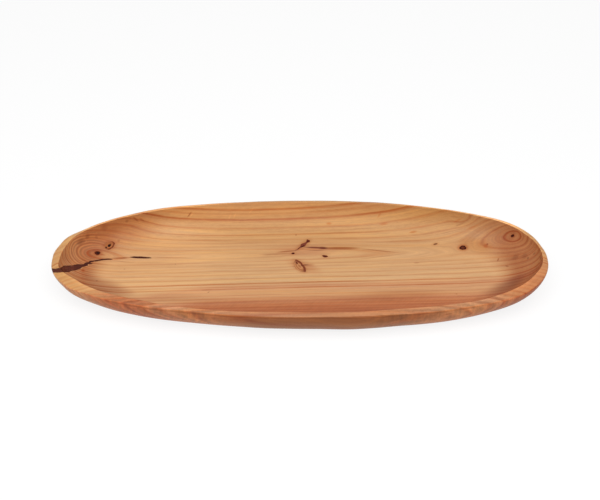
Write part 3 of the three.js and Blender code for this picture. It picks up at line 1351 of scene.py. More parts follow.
MARKS = {
    Stain.DARK: (
        Mark(-247.6, -10.5, 11.1, 1.5, 1.2, 20.0, 0.4),
        Mark(-154.0, 22.1, 10.0, 0.9, 1.2, 0.0, 0.35),
        Mark(-110.4, -30.2, 10.0, 2.0, 0.9, 50.0, 0.38),
        Mark(280.0, 15.3, 25.6, 1.5, 1.5, 0.0, 0.5),
        Mark(286.7, 15.2, 32.8, 1.5, 1.4, 0.0, 0.45),
        Mark(292.2, -0.5, 39.1, 1.8, 2.0, 0.0, 0.45),
    ),
    Stain.BROWN: (
        Mark(-266.5, 39.0, 35.5, 3.0, 1.2, 62.0, 0.5),
        Mark(-243.2, 59.0, 37.9, 5.0, 3.0, 20.0, 0.4),
        Mark(-252.7, 49.4, 32.1, 2.2, 1.6, 20.0, 0.35),
        Mark(-226.6, 54.5, 21.2, 2.2, 1.6, 40.0, 0.4),
        Mark(-206.0, 75.5, 38.0, 5.0, 6.0, 0.0, 0.6, 1.2, -50.0),
        Mark(-216.1, 12.8, 10.0, 1.6, 1.2, 60.0, 0.35),
        Mark(-112.0, -26.0, 10.0, 8.0, 1.3, 3.0, 0.4),
        Mark(-221.0, 32.7, 11.2, 13.0, 1.4, 8.0, 0.9),
        Mark(-160.0, 34.1, 10.0, 28.0, 1.3, -0.5, 0.6),
        Mark(-218.0, 26.4, 10.6, 15.0, 0.9, -6.0, 0.4),
        Mark(-184.0, 25.0, 10.0, 24.0, 0.8, 0.0, 0.3),
        Mark(-139.4, 91.0, 33.6, 4.6, 6.0, 0.0, 0.8, 0.9, 48.0),
        Mark(-4.8, 75.6, 12.8, 1.0, 1.0, 0.0, 0.9),
        Mark(52.0, 53.0, 10.0, 27.0, 3.2, 0.0, 1.0),
        Mark(99.0, 48.4, 10.0, 29.0, 1.3, -9.5, 0.6),
        Mark(98.0, 36.2, 10.0, 29.0, 1.1, 10.2, 0.4),
        Mark(-16.0, 46.8, 10.0, 14.0, 1.6, 8.0, 0.8),
        Mark(-30.0, 41.5, 10.0, 22.0, 1.4, 4.0, 0.5),
        Mark(10.5, 20.5, 10.0, 8.0, 2.0, 2.0, 0.45),
        Mark(144.7, 24.4, 10.0, 4.2, 1.0, 2.0, 0.6),
        Mark(234.3, 51.0, 18.0, 1.3, 1.3, 0.0, 0.9),
        Mark(245.8, 27.2, 13.1, 3.0, 1.0, 62.0, 0.8),
        Mark(255.3, 14.6, 13.3, 2.6, 1.3, -35.0, 0.6),
        Mark(189.3, -33.3, 10.0, 1.4, 1.1, 0.0, 0.5),
        Mark(201.6, 76.7, 29.0, 7.5, 6.0, 0.0, 0.35, 1.0, 25.0),
        Mark(-198.5, 77.0, 35.8, 4.5, 6.0, 0.0, 0.5, 1.2, -40.0),
        Mark(172.0, -93.0, 34.0, 8.0, 8.0, 12.0, 0.5, 1.1, 5.0),
    ),
    Stain.GREY: (
        Mark(-270.5, 36.0, 34.5, 6.5, 2.6, 48.0, 0.8),
        Mark(-263.0, 44.0, 36.8, 4.5, 2.0, 55.0, 0.7),
        Mark(-284.0, 8.0, 31.0, 10.0, 9.0, 60.0, 0.3, 10.0),
        Mark(-216.1, 70.9, 38.1, 2.8, 4.0, 0.0, 0.8, 2.2),
        Mark(266.5, 24.7, 19.5, 6.0, 4.0, 30.0, 0.45),
        Mark(276.0, 20.0, 25.0, 6.0, 4.5, 40.0, 0.45),
    ),
    Stain.ORANGE: (
        Mark(-265.4, 2.4, 16.8, 3.0, 2.4, 60.0, 1.0),
        Mark(37.0, 89.2, 21.8, 4.0, 1.6, 0.0, 0.8),
        Mark(106.0, 87.0, 23.0, 6.5, 1.8, 6.0, 0.7),
        Mark(101.0, 93.0, 30.0, 4.0, 5.0, 0.0, 0.6, 1.3, 50.0),
        Mark(143.0, 76.2, 18.0, 5.5, 1.5, 4.0, 0.8),
        Mark(232.3, 49.3, 16.8, 3.4, 3.0, -50.0, 0.75),
        Mark(291.0, 17.0, 42.0, 5.0, 8.0, 0.0, 0.5, 2.0),
        Mark(199.0, 80.0, 33.0, 7.0, 6.0, 0.0, 0.5, 1.2, 32.0),
        Mark(216.0, 71.4, 28.5, 8.0, 6.0, 0.0, 0.45, 1.1, 26.0),
    ),
    Stain.AMBER: (
        Mark(-248.0, 55.0, 34.0, 30.0, 12.0, 30.0, 0.6, 14.0),
        Mark(221.0, 52.0, 15.0, 24.0, 12.0, -25.0, 1.0, 10.0),
    ),
    Stain.PURPLE: (
        Mark(20.7, 53.9, 10.0, 16.5, 2.2, -3.0, 0.95),
        Mark(28.0, 53.4, 10.0, 8.0, 2.8, -4.0, 1.0),
        Mark(6.5, 20.8, 10.0, 5.0, 1.4, 5.0, 0.6),
        Mark(19.6, 48.9, 10.0, 13.0, 1.1, -1.5, 0.5),
        Mark(-3.6, 50.2, 10.0, 4.0, 1.2, 38.0, 0.5),
    ),
    Stain.PALE_AND_HIGHLIGHT: (
        Mark(-136.8, 91.0, 32.6, 4.2, 6.0, 0.0, 0.8, 0.9, 48.0),
        Mark(-90.0, 96.0, 26.0, 6.0, 6.0, 0.0, 0.7, 1.2, 60.0),
        Mark(-83.0, 97.0, 28.0, 5.0, 6.0, 0.0, 0.6, 1.0, 60.0),
        Mark(-62.0, 100.0, 33.0, 6.0, 6.0, 0.0, 0.6, 1.0, 50.0),
        Mark(17.0, 51.2, 10.0, 11.0, 1.2, -2.0, 1.0),
        # Painted highlights along the near rim's outer rounding, at the left and the right.
        Mark(-260.0, -57.0, 39.0, 8.0, 9.0, -42.0, 1.0, 1.8),
        Mark(-196.0, -89.0, 37.0, 9.0, 8.0, -18.0, 1.0, 1.1, 4.0),
        Mark(-171.0, -94.0, 36.0, 8.0, 8.0, -12.0, 1.0, 1.0, 6.0),
        Mark(196.0, -88.0, 36.0, 9.0, 8.0, 14.0, 1.0, 1.1, -4.0),
    ),
}


@dataclass(frozen=True)
class Shade:
    """A wide soft patch that makes the surface darker, redder or paler: an oval about its place. Some are
    painted shade.
    """

    tint: Triple
    place: Triple
    sizes: Triple
    turn: float = 0.0


SHADES = (
    Shade((0.84, 0.74, 0.68), (121.0, -36.0, 10.0), (70.0, 14.0, 9.0), 4.0),
    Shade((0.87, 0.84, 0.81), (-150.0, -41.0, 10.0), (62.0, 13.0, 9.0), -4.0),
    # Painted shade: the near lower wall's corners at the left and the right tip are darkened.
    Shade((0.66, 0.54, 0.52), (-233.0, -22.0, 12.0), (44.0, 15.0, 10.0), -28.0),
    Shade((0.64, 0.54, 0.53), (250.0, -23.0, 14.0), (38.0, 14.0, 10.0), 25.0),
    Shade((0.94, 0.89, 0.86), (262.0, 18.0, 18.0), (30.0, 26.0, 14.0)),
    Shade((0.96, 0.82, 0.66), (-212.0, 72.0, 30.0), (46.0, 22.0, 24.0), 18.0),
    Shade((1.0, 0.97, 0.86), (170.0, 82.0, 30.0), (80.0, 20.0, 26.0)),
    Shade((0.86, 0.82, 0.76), (110.0, -98.0, 36.0), (70.0, 20.0, 8.0)),
    Shade((0.87, 0.86, 0.82), (33.0, -100.0, 35.0), (50.0, 22.0, 14.0)),
    Shade((0.87, 0.74, 0.74), (8.0, 48.0, 10.0), (50.0, 13.0, 8.0)),
    Shade((0.97, 1.06, 1.14), (-185.0, -86.0, 36.0), (80.0, 26.0, 16.0), -14.0),
    Shade((0.96, 1.05, 1.1), (185.0, -88.0, 36.0), (80.0, 26.0, 16.0), 14.0),
    Shade((0.93, 0.95, 0.98), (0.0, -98.0, 43.0), (120.0, 12.0, 5.0)),
    Shade((0.86, 0.70, 0.64), (5.0, 18.0, 10.0), (26.0, 12.0, 8.0), -30.0),
)


@dataclass(frozen=True)
class WoodFinish:
    """Oiled wood from one trunk: rings round the pith, pale in the middle, golden far, reddish near."""

    pith: Pith = Pith()
    rings: Stops = (
        (6.7, 0.75), (10.0, 0.12), (14.6, 0.45), (20.8, 0.2), (25.2, 0.35), (30.3, 0.35), (36.9, 0.5),
        (45.0, 0.55), (54.2, 1.0), (59.5, 0.3), (62.9, 0.9), (69.0, 0.15), (75.0, 0.45), (80.5, 0.35),
        (86.4, 0.5), (92.5, 0.35), (97.0, 0.4), (102.5, 0.4), (107.0, 0.35), (113.5, 0.6), (119.0, 0.45),
        (125.5, 0.6), (131.0, 0.5), (138.0, 0.55), (146.0, 0.5),
    )
    outermost: float = 160.0
    widest_year: float = 20.0
    outer_year: float = 10.0
    outer_darkness: float = 0.5
    line_half_width: float = 0.95
    near_side: tuple[tuple[float, Shown], ...] = (
        (0.0, (209, 163, 117)), (52.0, (211, 168, 122)), (60.0, (203, 150, 109)), (74.0, (204, 155, 112)),
        (80.0, (198, 144, 102)), (86.0, (187, 124, 85)), (92.0, (182, 115, 75)), (98.0, (176, 107, 69)),
        (106.0, (169, 99, 62)), (115.0, (177, 114, 77)), (125.0, (187, 129, 92)), (140.0, (179, 121, 82)),
        (160.0, (186, 126, 88)),
    )
    far_side: tuple[tuple[float, Shown], ...] = (
        (0.0, (203, 152, 101)), (34.0, (202, 155, 106)), (46.0, (199, 149, 95)), (55.0, (201, 148, 92)),
        (62.0, (206, 154, 101)), (100.0, (196, 144, 94)), (160.0, (186, 130, 84)),
    )
    rim_wood: Rgba = linear_colour(217, 163, 105)
    red_rim: Rgba = linear_colour(194, 120, 80)
    line_tint: Rgba = (0.76, 0.46, 0.30, 1.0)
    streak_tint: Rgba = (0.60, 0.38, 0.28, 1.0)
    bright_tint: Rgba = (1.0, 1.0, 0.88, 1.0)
    warm_tint: Rgba = (1.0, 0.96, 0.84, 1.0)
    end_tint: Rgba = (0.61, 0.41, 0.33, 1.0)
    pale_end_tint: Rgba = (1.12, 1.3, 1.45, 1.0)
    outside_tint: Rgba = (0.97, 0.87, 0.78, 1.0)
    under_rim_shade_tint: Rgba = (0.84, 0.75, 0.63, 1.0)
    edge_tint: Rgba = (0.68, 0.54, 0.38, 1.0)
    low_wall_shade_tint: Rgba = (0.76, 0.62, 0.56, 1.0)
    halo_tint: Rgba = (0.72, 0.42, 0.24, 1.0)
    halo_sizes: Triple = (3.0, 2.2, 7.0)
    swirls: tuple[Swirl, ...] = (
        Swirl(-237.0, 47.0, 20.0, 9.0, 7.0, 3.0),
        Swirl(204.0, 51.0, 12.0, 12.0, 7.0, 2.0),
        Swirl(0.5, 20.0, 10.0, 9.0, 10.0, 1.6),
        Swirl(-95.0, -101.0, 24.0, 30.0, 9.0, 5.0),
        Swirl(180.0, -88.0, 26.0, 34.0, 9.0, 6.0),
        Swirl(-214.0, 72.0, 34.0, 30.0, 14.0, -4.5),
        Swirl(206.0, 80.0, 36.0, 14.0, 9.0, 5.0),
    )

    def radius(self, where: Place) -> Signal:
        """Give the radius of the growth ring at a place, with the wander of a real trunk.

        Args:
            where: The place.

        Returns:
            The radius.
        """
        radius = self.pith.distance(*where.parts())
        radius = radius + where.scaled(0.006, 0.014, 0.014).noise(1.0) * 1.4
        radius = radius + where.scaled(0.03, 0.12, 0.12).noise(3.0) * 1.1
        for swirl in self.swirls:
            away = where.off_from((swirl.x, swirl.y, swirl.z), (swirl.along, swirl.across, swirl.across))
            radius = radius + away.bell(0.0, 1.0) * swirl.push
        return radius.larger(0.0)

    def latewood(self, radius: Signal) -> Signal:
        """Give how dark the latewood is at a ring's radius.

        Args:
            radius: The radius.

        Returns:
            The darkness, from 0 to about 1.
        """
        count = len(self.rings)
        share = radius / self.outermost
        year_points = [(0.0, 0.0)]
        width_points = []
        dark_points = [(0.0, self.rings[0][1])]
        inner = 0.0
        for number, (ring, darkness) in enumerate(self.rings, start=1):
            year_points.append((ring / self.outermost, number / count))
            middle = (ring + inner) / 2.0 / self.outermost
            width_points.append((middle, (ring - inner) / self.widest_year))
            dark_points.append((ring / self.outermost, darkness))
            inner = ring
        year_points.append((1.0, 1.0 + (self.outermost - inner) / self.outer_year / count))
        last_width = (1.0, self.outer_year / self.widest_year)
        width_points = [(0.0, width_points[0][1]), *width_points, last_width]
        dark_points.append((1.0, self.outer_darkness))
        year = share.curve(year_points) * float(count)
        width = share.curve(width_points) * self.widest_year
        past = (year - year.rounded()) * width
        line = past.bell(0.0, self.line_half_width)
        lead_in = past.eased(-4.2, 0.0) * past.eased(0.9, 0.0)
        return (line * 0.75 + lead_in * 0.35) * share.curve(dark_points)

    def zones(self, radius: Signal, stops: tuple[tuple[float, Shown], ...]) -> Tone:
        """Give the wood's colour between its lines at a ring's radius."""
        ramp = [(stop / self.outermost, linear_colour(*shown)) for stop, shown in stops]
        return (radius / self.outermost).toned(ramp)

    def ground(self, at: "WoodPlace") -> Tone:
        """Give the wood's colour between its lines, by its ring and its side of the tray. It also paints
        shade on the outer wall under the rim and on the near lower wall at the left.

        Args:
            at: The place.

        Returns:
            The colour.
        """
        x, y, rim, outside = at.x, at.y, at.rim, at.outside
        near = self.zones(at.zone, self.near_side)
        colour = near.towards(self.zones(at.zone, self.far_side), y.eased(30.0, 84.0))
        colour = colour.towards(self.rim_wood, rim * at.tips * 0.85)
        colour = colour.towards(self.red_rim, rim * x.eased(215.0, 275.0) * y.eased(15.0, -40.0) * 0.7)
        colour = colour.stained(self.outside_tint, outside)
        # Painted shade on the outer wall just under the rim, away from the tips, which also warms the
        # wood's tone.
        under = outside * at.z.eased(24.0, 34.0) * x.absolute().eased(200.0, 120.0)
        colour = colour.stained(self.under_rim_shade_tint, under)
        # Painted shade, reddish: the near lower wall at the left, which faces away from the viewer, is
        # darkened.
        low = at.facing_y.eased(0.06, 0.4) * (1.0 - outside) * (1.0 - rim) * x.eased(-120.0, -215.0)
        return colour.stained(self.low_wall_shade_tint, low)

    def brightened(self, at: "WoodPlace", colour: Tone) -> Tone:
        """Brighten the flanks of the outside, the ends and the far rim, and paint a highlight along the top
        of the near rim's inner edge.

        Args:
            at: The place.
            colour: The wood's colour there.

        Returns:
            The new colour.
        """
        x, y, rim = at.x, at.y, at.rim
        flame = x.eased(-40.0, -100.0) * 0.44 + x.eased(105.0, 170.0) * 0.5
        flame = flame * y.eased(-50.0, -80.0) + at.tips * 0.3 + x.eased(-150.0, -210.0) * 0.12
        far = y.eased(38.0, 62.0)
        ends = x.eased(-60.0, -150.0) * 0.1 + x.eased(60.0, 190.0) * (0.05 - far * 0.08)
        ends = ends - x.eased(-165.0, -215.0) * far * 0.08
        # Painted highlight: a thin light line along the near rim's inner edge.
        crest_highlight = rim * at.z.eased(42.3, 43.4) * y.eased(-20.0, -60.0)
        far_rim = rim * far * (x.eased(90.0, 180.0) * 0.75 + x.eased(-40.0, -130.0) * 0.6)
        return colour.lit(flame * at.outside + ends * (1.0 - rim) + crest_highlight * 0.12 + far_rim + 1.0)

    def grained(self, at: "WoodPlace", colour: Tone) -> tuple[Tone, Signal]:
        """Run the bands, streaks and fibres of the years along the wood.

        Args:
            at: The place.
            colour: The wood's colour there.

        Returns:
            The new colour and the finest fibres.
        """
        x, y, radius, where, nodes = at.x, at.y, at.radius, at.where, at.nodes
        drift = nodes.point(x * 0.004, radius * 0.1, y * 0.01).noise(1.0)
        bands = nodes.point(x * 0.007, radius * 0.27, y * 0.02).noise(2.0, 0.6)
        streak = nodes.point(x * 0.012, radius * 0.75, y * 0.03).noise(2.0, 0.6)
        fine = nodes.point(x * 0.035, radius * 2.4, at.z * 0.2).noise(2.0)
        fibres = where.scaled(0.09, 2.6, 2.6).noise(2.0, 0.6)
        grain = where.scaled(0.11, 0.5, 0.5).noise(3.0, 0.75)
        wall = at.facing_z.eased(0.97, 0.85)
        light = drift * 0.26 + bands * 0.34 + streak * (at.end_grain * 0.25 + 0.38)
        light = light + grain * (wall * 0.25 + 0.12)
        colour = colour.lit(light.larger(0.0) + fine * 0.3 + fibres * 0.2 + 1.0)
        colour = colour.stained(self.bright_tint, light.larger(0.0) * 5.0)
        return colour.stained(self.streak_tint, light.smaller(0.0) * -2.2), fibres

    def carved(self, at: "WoodPlace", colour: Tone) -> Tone:
        """Show how the blade cut the wood: feathers and flames on the outside, arcs at the left end.

        Args:
            at: The place.
            colour: The wood's colour there.

        Returns:
            The new colour.
        """
        x, y, radius, where, outside = at.x, at.y, at.radius, at.where, at.outside
        feather = where.seen_from((3.4, 22.0, 22.0), (0.0, 0.0, 0.5)).noise(2.0, 0.6)
        colour = colour.lit(feather * outside * x.absolute().eased(60.0, 130.0) * 0.5 + 1.0)
        flames = (radius * 1.3 + where.scaled(0.05, 0.04, 0.08).noise(2.0) * 8.0).sine()
        ends = (outside + at.rim).smaller(1.0) * y.eased(-30.0, -50.0)
        ends = ends * x.absolute().eased(60.0, 120.0) * x.absolute().eased(258.0, 222.0)
        colour = colour.lit((flames * 0.15 + feather * 0.3) * ends + 1.0)
        edge_line = at.z.bell(39.2, 1.1) * outside * y.eased(-70.0, -90.0)
        colour = colour.stained(self.edge_tint, edge_line * 0.6)
        arcs = (radius * 2.0 + where.scaled(0.06, 0.06, 0.06).noise(1.0) * 5.0).sine()
        return colour.lit(arcs * at.end_grain * x.eased(-238.0, -262.0) * 0.15 + 1.0)

    def lined(self, at: "WoodPlace", colour: Tone) -> Tone:
        """Warm whole bands of years, and draw their dark lines, the end grain and the red wood's flecks.

        Args:
            at: The place.
            colour: The wood's colour there.

        Returns:
            The new colour.
        """
        x, y, zone = at.x, at.y, at.zone
        warmth = at.nodes.point(x * 0.005, at.radius * 0.21 + 40.0, y * 0.02).noise(2.0).eased(-0.2, 0.2)
        colour = colour.stained(self.warm_tint, warmth * (0.8 - x.eased(20.0, 150.0) * 0.4))
        colour = colour.stained(self.line_tint, at.late)
        colour = colour.stained(self.end_tint, at.end_grain)
        colour = colour.stained(self.pale_end_tint, at.end_grain * x.eased(-262.0, -284.0))
        flecks = at.where.seen_from((14.0, 1.3, 1.3), (0.0, 0.0, math.radians(52.0))).noise(2.0)
        return colour.lit(flecks * zone.eased(74.0, 90.0) * y.eased(-20.0, -40.0) * 0.3 + 1.0)

    def marked(self, where: Place, colour: Tone, seats: dict[str, Seat]) -> Tone:
        """Lay the wide shades, the warm halos of the dead knots and the small marks over the wood. Some
        shades are painted shade, and some pale marks are painted highlights.

        Args:
            where: The place.
            colour: The wood's colour there.
            seats: Where each knot sits.

        Returns:
            The new colour.
        """
        for shade in SHADES:
            away = where.off_from(shade.place, shade.sizes, shade.turn)
            colour = colour.stained((*shade.tint, 1.0), away.eased(1.2, 0.2))
        colour = colour.stained(self.halo_tint, strongest(self.halo(where, knot, seats) for knot in KNOTS))
        for stain, marks in MARKS.items():
            colour = colour.stained(stain.value, strongest(self.spot(where, mark) for mark in marks))
        return colour

    def halo(self, where: Place, knot: Insert, seats: dict[str, Seat]) -> Signal:
        """Give the warm shade round one dead knot.

        Args:
            where: The place.
            knot: The knot.
            seats: Where each knot sits.

        Returns:
            Its strength.
        """
        past_end, past_side, deep = self.halo_sizes
        sizes = (knot.half_length + past_end, knot.half_width + past_side, deep)
        away = where.off_from(seats[knot.name].point / MM, sizes, knot.turn)
        return away.eased(1.3, 0.5) * knot.halo

    def spot(self, where: Place, mark: Mark) -> Signal:
        """Give the strength of one small mark.

        Args:
            where: The place.
            mark: The mark.

        Returns:
            Its strength there.
        """
        sizes = (mark.half_length, mark.half_width, mark.half_height)
        away = where.off_from((mark.x, mark.y, mark.z), sizes, mark.turn, mark.tilt)
        return away.eased(1.25, 0.35) * mark.strength

    def dress(self, piece: Piece, seats: dict[str, Seat]) -> None:
        """Give the block its finish.

        Args:
            piece: The block.
            seats: Where each knot sits.
        """
        nodes = FinishNodes(bpy.data.materials.new("oiled_wood"))
        at = WoodPlace(nodes, self)
        colour, fibres = self.grained(at, self.brightened(at, self.ground(at)))
        colour = self.lined(at, self.carved(at, colour))
        colour = self.marked(at.where, colour, seats)
        roughness = fibres * 0.12 - at.late * 0.06 + 0.47
        relief = fibres * 0.6 + at.late * 0.3
        nodes.close(colour, roughness, relief, 0.05, 0.22)
        nodes.put_on(piece)


class WoodPlace:
    """A place on the block as the wood's layers see it: its ring, and how much it is rim or end grain."""

    def __init__(self, nodes: FinishNodes, wood: WoodFinish) -> None:
        """Work out what the layers share.

        Args:
            nodes: The material's nodes.
            wood: The finish, which knows the rings.
        """
        self.nodes = nodes
        self.where = nodes.where()
        self.x, self.y, self.z = self.where.parts()
        facing_x, self.facing_y, self.facing_z = nodes.facing().parts()
        self.rim = self.z.eased(36.5, 38.5) * self.facing_z.eased(0.6, 0.75)
        leans_out = facing_x * self.x * 0.0012 + self.facing_y * self.y * 0.00926
        self.outside = leans_out.eased(0.1, 0.35) * (1.0 - self.rim)
        end_grain = facing_x.absolute().eased(0.03, 0.42)
        end_grain = end_grain * (1.0 - self.rim * 0.9) * (1.0 - self.outside * 0.6)
        far = self.y.eased(45.0, 78.0) * (0.5 - self.x.eased(-150.0, -200.0) * 0.25)
        self.end_grain = end_grain * (1.0 - far)
        self.radius = wood.radius(self.where)
        bold = self.where.scaled(0.011, 0.12, 0.12).noise(2.0) * 1.6 + 0.9
        self.late = wood.latewood(self.radius) * (bold + self.end_grain * 0.5)
        self.zone = self.radius - self.x.eased(-90.0, -265.0) * 24.0
        self.tips = self.x.absolute().eased(215.0, 275.0)


@dataclass(frozen=True)
class Heart:
    """A dark or pale spot in a knot, in shares of the knot's half length and half width."""

    along: float = 0.0
    across: float = 0.0
    reach: float = 0.6
    slim: float = 1.0


@dataclass(frozen=True)
class KnotFinish:
    """Dead branch wood: dark hearts, rings of its own and an edge of bark, thicker on one side."""

    wood: Shown = (96, 46, 34)
    heart: Shown = (44, 18, 14)
    edge: Shown = (74, 32, 22)
    hearts: tuple[Heart, ...] = (Heart(),)
    circle_tint: Rgba = (0.66, 0.52, 0.44, 1.0)
    edge_start: float = 0.72
    edge_width: float = 0.22
    thick_way: float = 0.0
    one_sided: float = 0.0
    ring_depth: float = 0.4
    rings: float = 4.0

    def dress(self, piece: Piece, knot: Insert, seat: Seat) -> None:
        """Give one knot its finish.

        Args:
            piece: The knot.
            knot: Its sizes.
            seat: Where it sits.
        """
        nodes = FinishNodes(bpy.data.materials.new(f"{knot.name}_wood"))
        where = nodes.where()
        turns = tuple(seat.frame(knot.turn).to_euler())
        sizes = (knot.half_length, knot.half_width, knot.half_width)
        own = where.seen_from(sizes, turns, seat.point / MM).scaled(1.0, 1.0, 0.0)
        along, across, _ = own.parts()
        rough = where.scaled(0.55, 0.55, 0.55).noise(2.0)
        out = own.length() + rough * 0.25
        way = math.radians(self.thick_way)
        side = along * math.cos(way) + across * math.sin(way)
        colour = nodes.plain(linear_colour(*self.wood))
        circles = (out * self.rings * math.tau).sine() * 0.5 + 0.5
        colour = colour.stained(self.circle_tint, circles * self.ring_depth)
        for spot in self.hearts:
            wide = spot.reach * spot.slim
            aside = nodes.point((along - spot.along) / spot.reach, (across - spot.across) / wide, 0.0)
            inside = (aside.length() + rough * 0.5).eased(1.1, 0.5)
            colour = colour.towards(linear_colour(*self.heart), inside)
        edge = out + side * self.one_sided * 0.35
        edge = edge.eased(self.edge_start, self.edge_start + self.edge_width)
        thick = 1.0 - self.one_sided * 0.35 + side * self.one_sided
        colour = colour.towards(linear_colour(*self.edge), edge * thick)
        colour = colour.lit(where.scaled(1.4, 1.4, 1.4).noise(3.0) * 0.4 + 1.0)
        nodes.close(colour, circles * 0.1 + 0.5, circles * 0.5, 0.06, 0.1)
        nodes.put_on(piece)


KNOT_FINISHES = {
    "left_pith_core": KnotFinish((86, 30, 12), (36, 8, 3), (120, 58, 28), (Heart(0.15, 0.0, 0.7),)),
    "left_wall_knot": KnotFinish(
        (176, 108, 62),
        (36, 8, 5),
        (120, 58, 28),
        (Heart(0.0, 0.0, 0.42, 0.9), Heart(-0.75, -0.1, 0.22, 1.2), Heart(0.45, -0.62, 0.2, 1.0)),
        edge_start=0.7,
        thick_way=-60.0,
        one_sided=0.5,
        ring_depth=0.5,
        rings=1.8,
    ),
    "centre_spike_knot": KnotFinish(
        (124, 62, 46),
        (56, 12, 7),
        (96, 36, 24),
        (Heart(0.8, 0.0, 0.3, 4.0), Heart(-0.25, -0.3, 0.3, 1.0)),
        edge_start=0.6,
        ring_depth=0.3,
    ),
    "centre_oval_knot": KnotFinish(
        (196, 136, 90),
        (92, 34, 22),
        (120, 58, 36),
        (Heart(-0.55, -0.1, 0.26, 0.8), Heart(0.0, 0.72, 0.3, 1.4)),
        edge_start=0.62,
        thick_way=90.0,
        one_sided=0.7,
        ring_depth=0.9,
        rings=2.0,
    ),
    "left_pin_knot": KnotFinish((84, 26, 16), (56, 10, 6), (104, 40, 24)),
    "right_pin_knot": KnotFinish((92, 36, 22), (74, 22, 12), (110, 50, 30)),
    "small_floor_knot": KnotFinish((92, 40, 20), (70, 26, 12), (122, 62, 34)),
    "right_floor_knot": KnotFinish((70, 22, 8), (112, 54, 28), (58, 12, 4), edge_start=0.7),
    "right_pith_core": KnotFinish((80, 28, 10), (50, 12, 4), (108, 50, 24)),
}


@dataclass(frozen=True)
class FillerFinish:
    """Hard dark resin with wood dust in it, polished flush, darker towards the end that runs out."""

    resin: Shown = (84, 34, 18)
    dust: Shown = (116, 62, 44)
    deep: Shown = (58, 14, 4)
    dark_from: float = -6.0

    def dress(self, piece: Piece) -> None:
        """Give a filler its finish.

        Args:
            piece: The filler.
        """
        nodes = FinishNodes(bpy.data.materials.new(f"{piece.name}_resin"))
        where = nodes.where()
        cloud = where.seen_from((5.0, 3.2, 1.3), (-0.6, 0.0, 0.0)).noise(3.0, 0.6)
        specks = where.scaled(1.7, 2.2, 2.2).noise(3.0, 0.6)
        _, y, _ = where.parts()
        colour = nodes.plain(linear_colour(*self.resin))
        colour = colour.towards(linear_colour(*self.dust), cloud * 3.4 + specks * 1.2 + 0.1)
        thin = y.eased(self.dark_from, self.dark_from + 20.0) * 0.75
        colour = colour.towards(linear_colour(*self.deep), (specks * -3.0 - cloud * 3.4).larger(thin))
        nodes.close(colour, specks * 0.2 + 0.42, specks, 0.06, 0.15)
        nodes.put_on(piece)


# The tray, put together


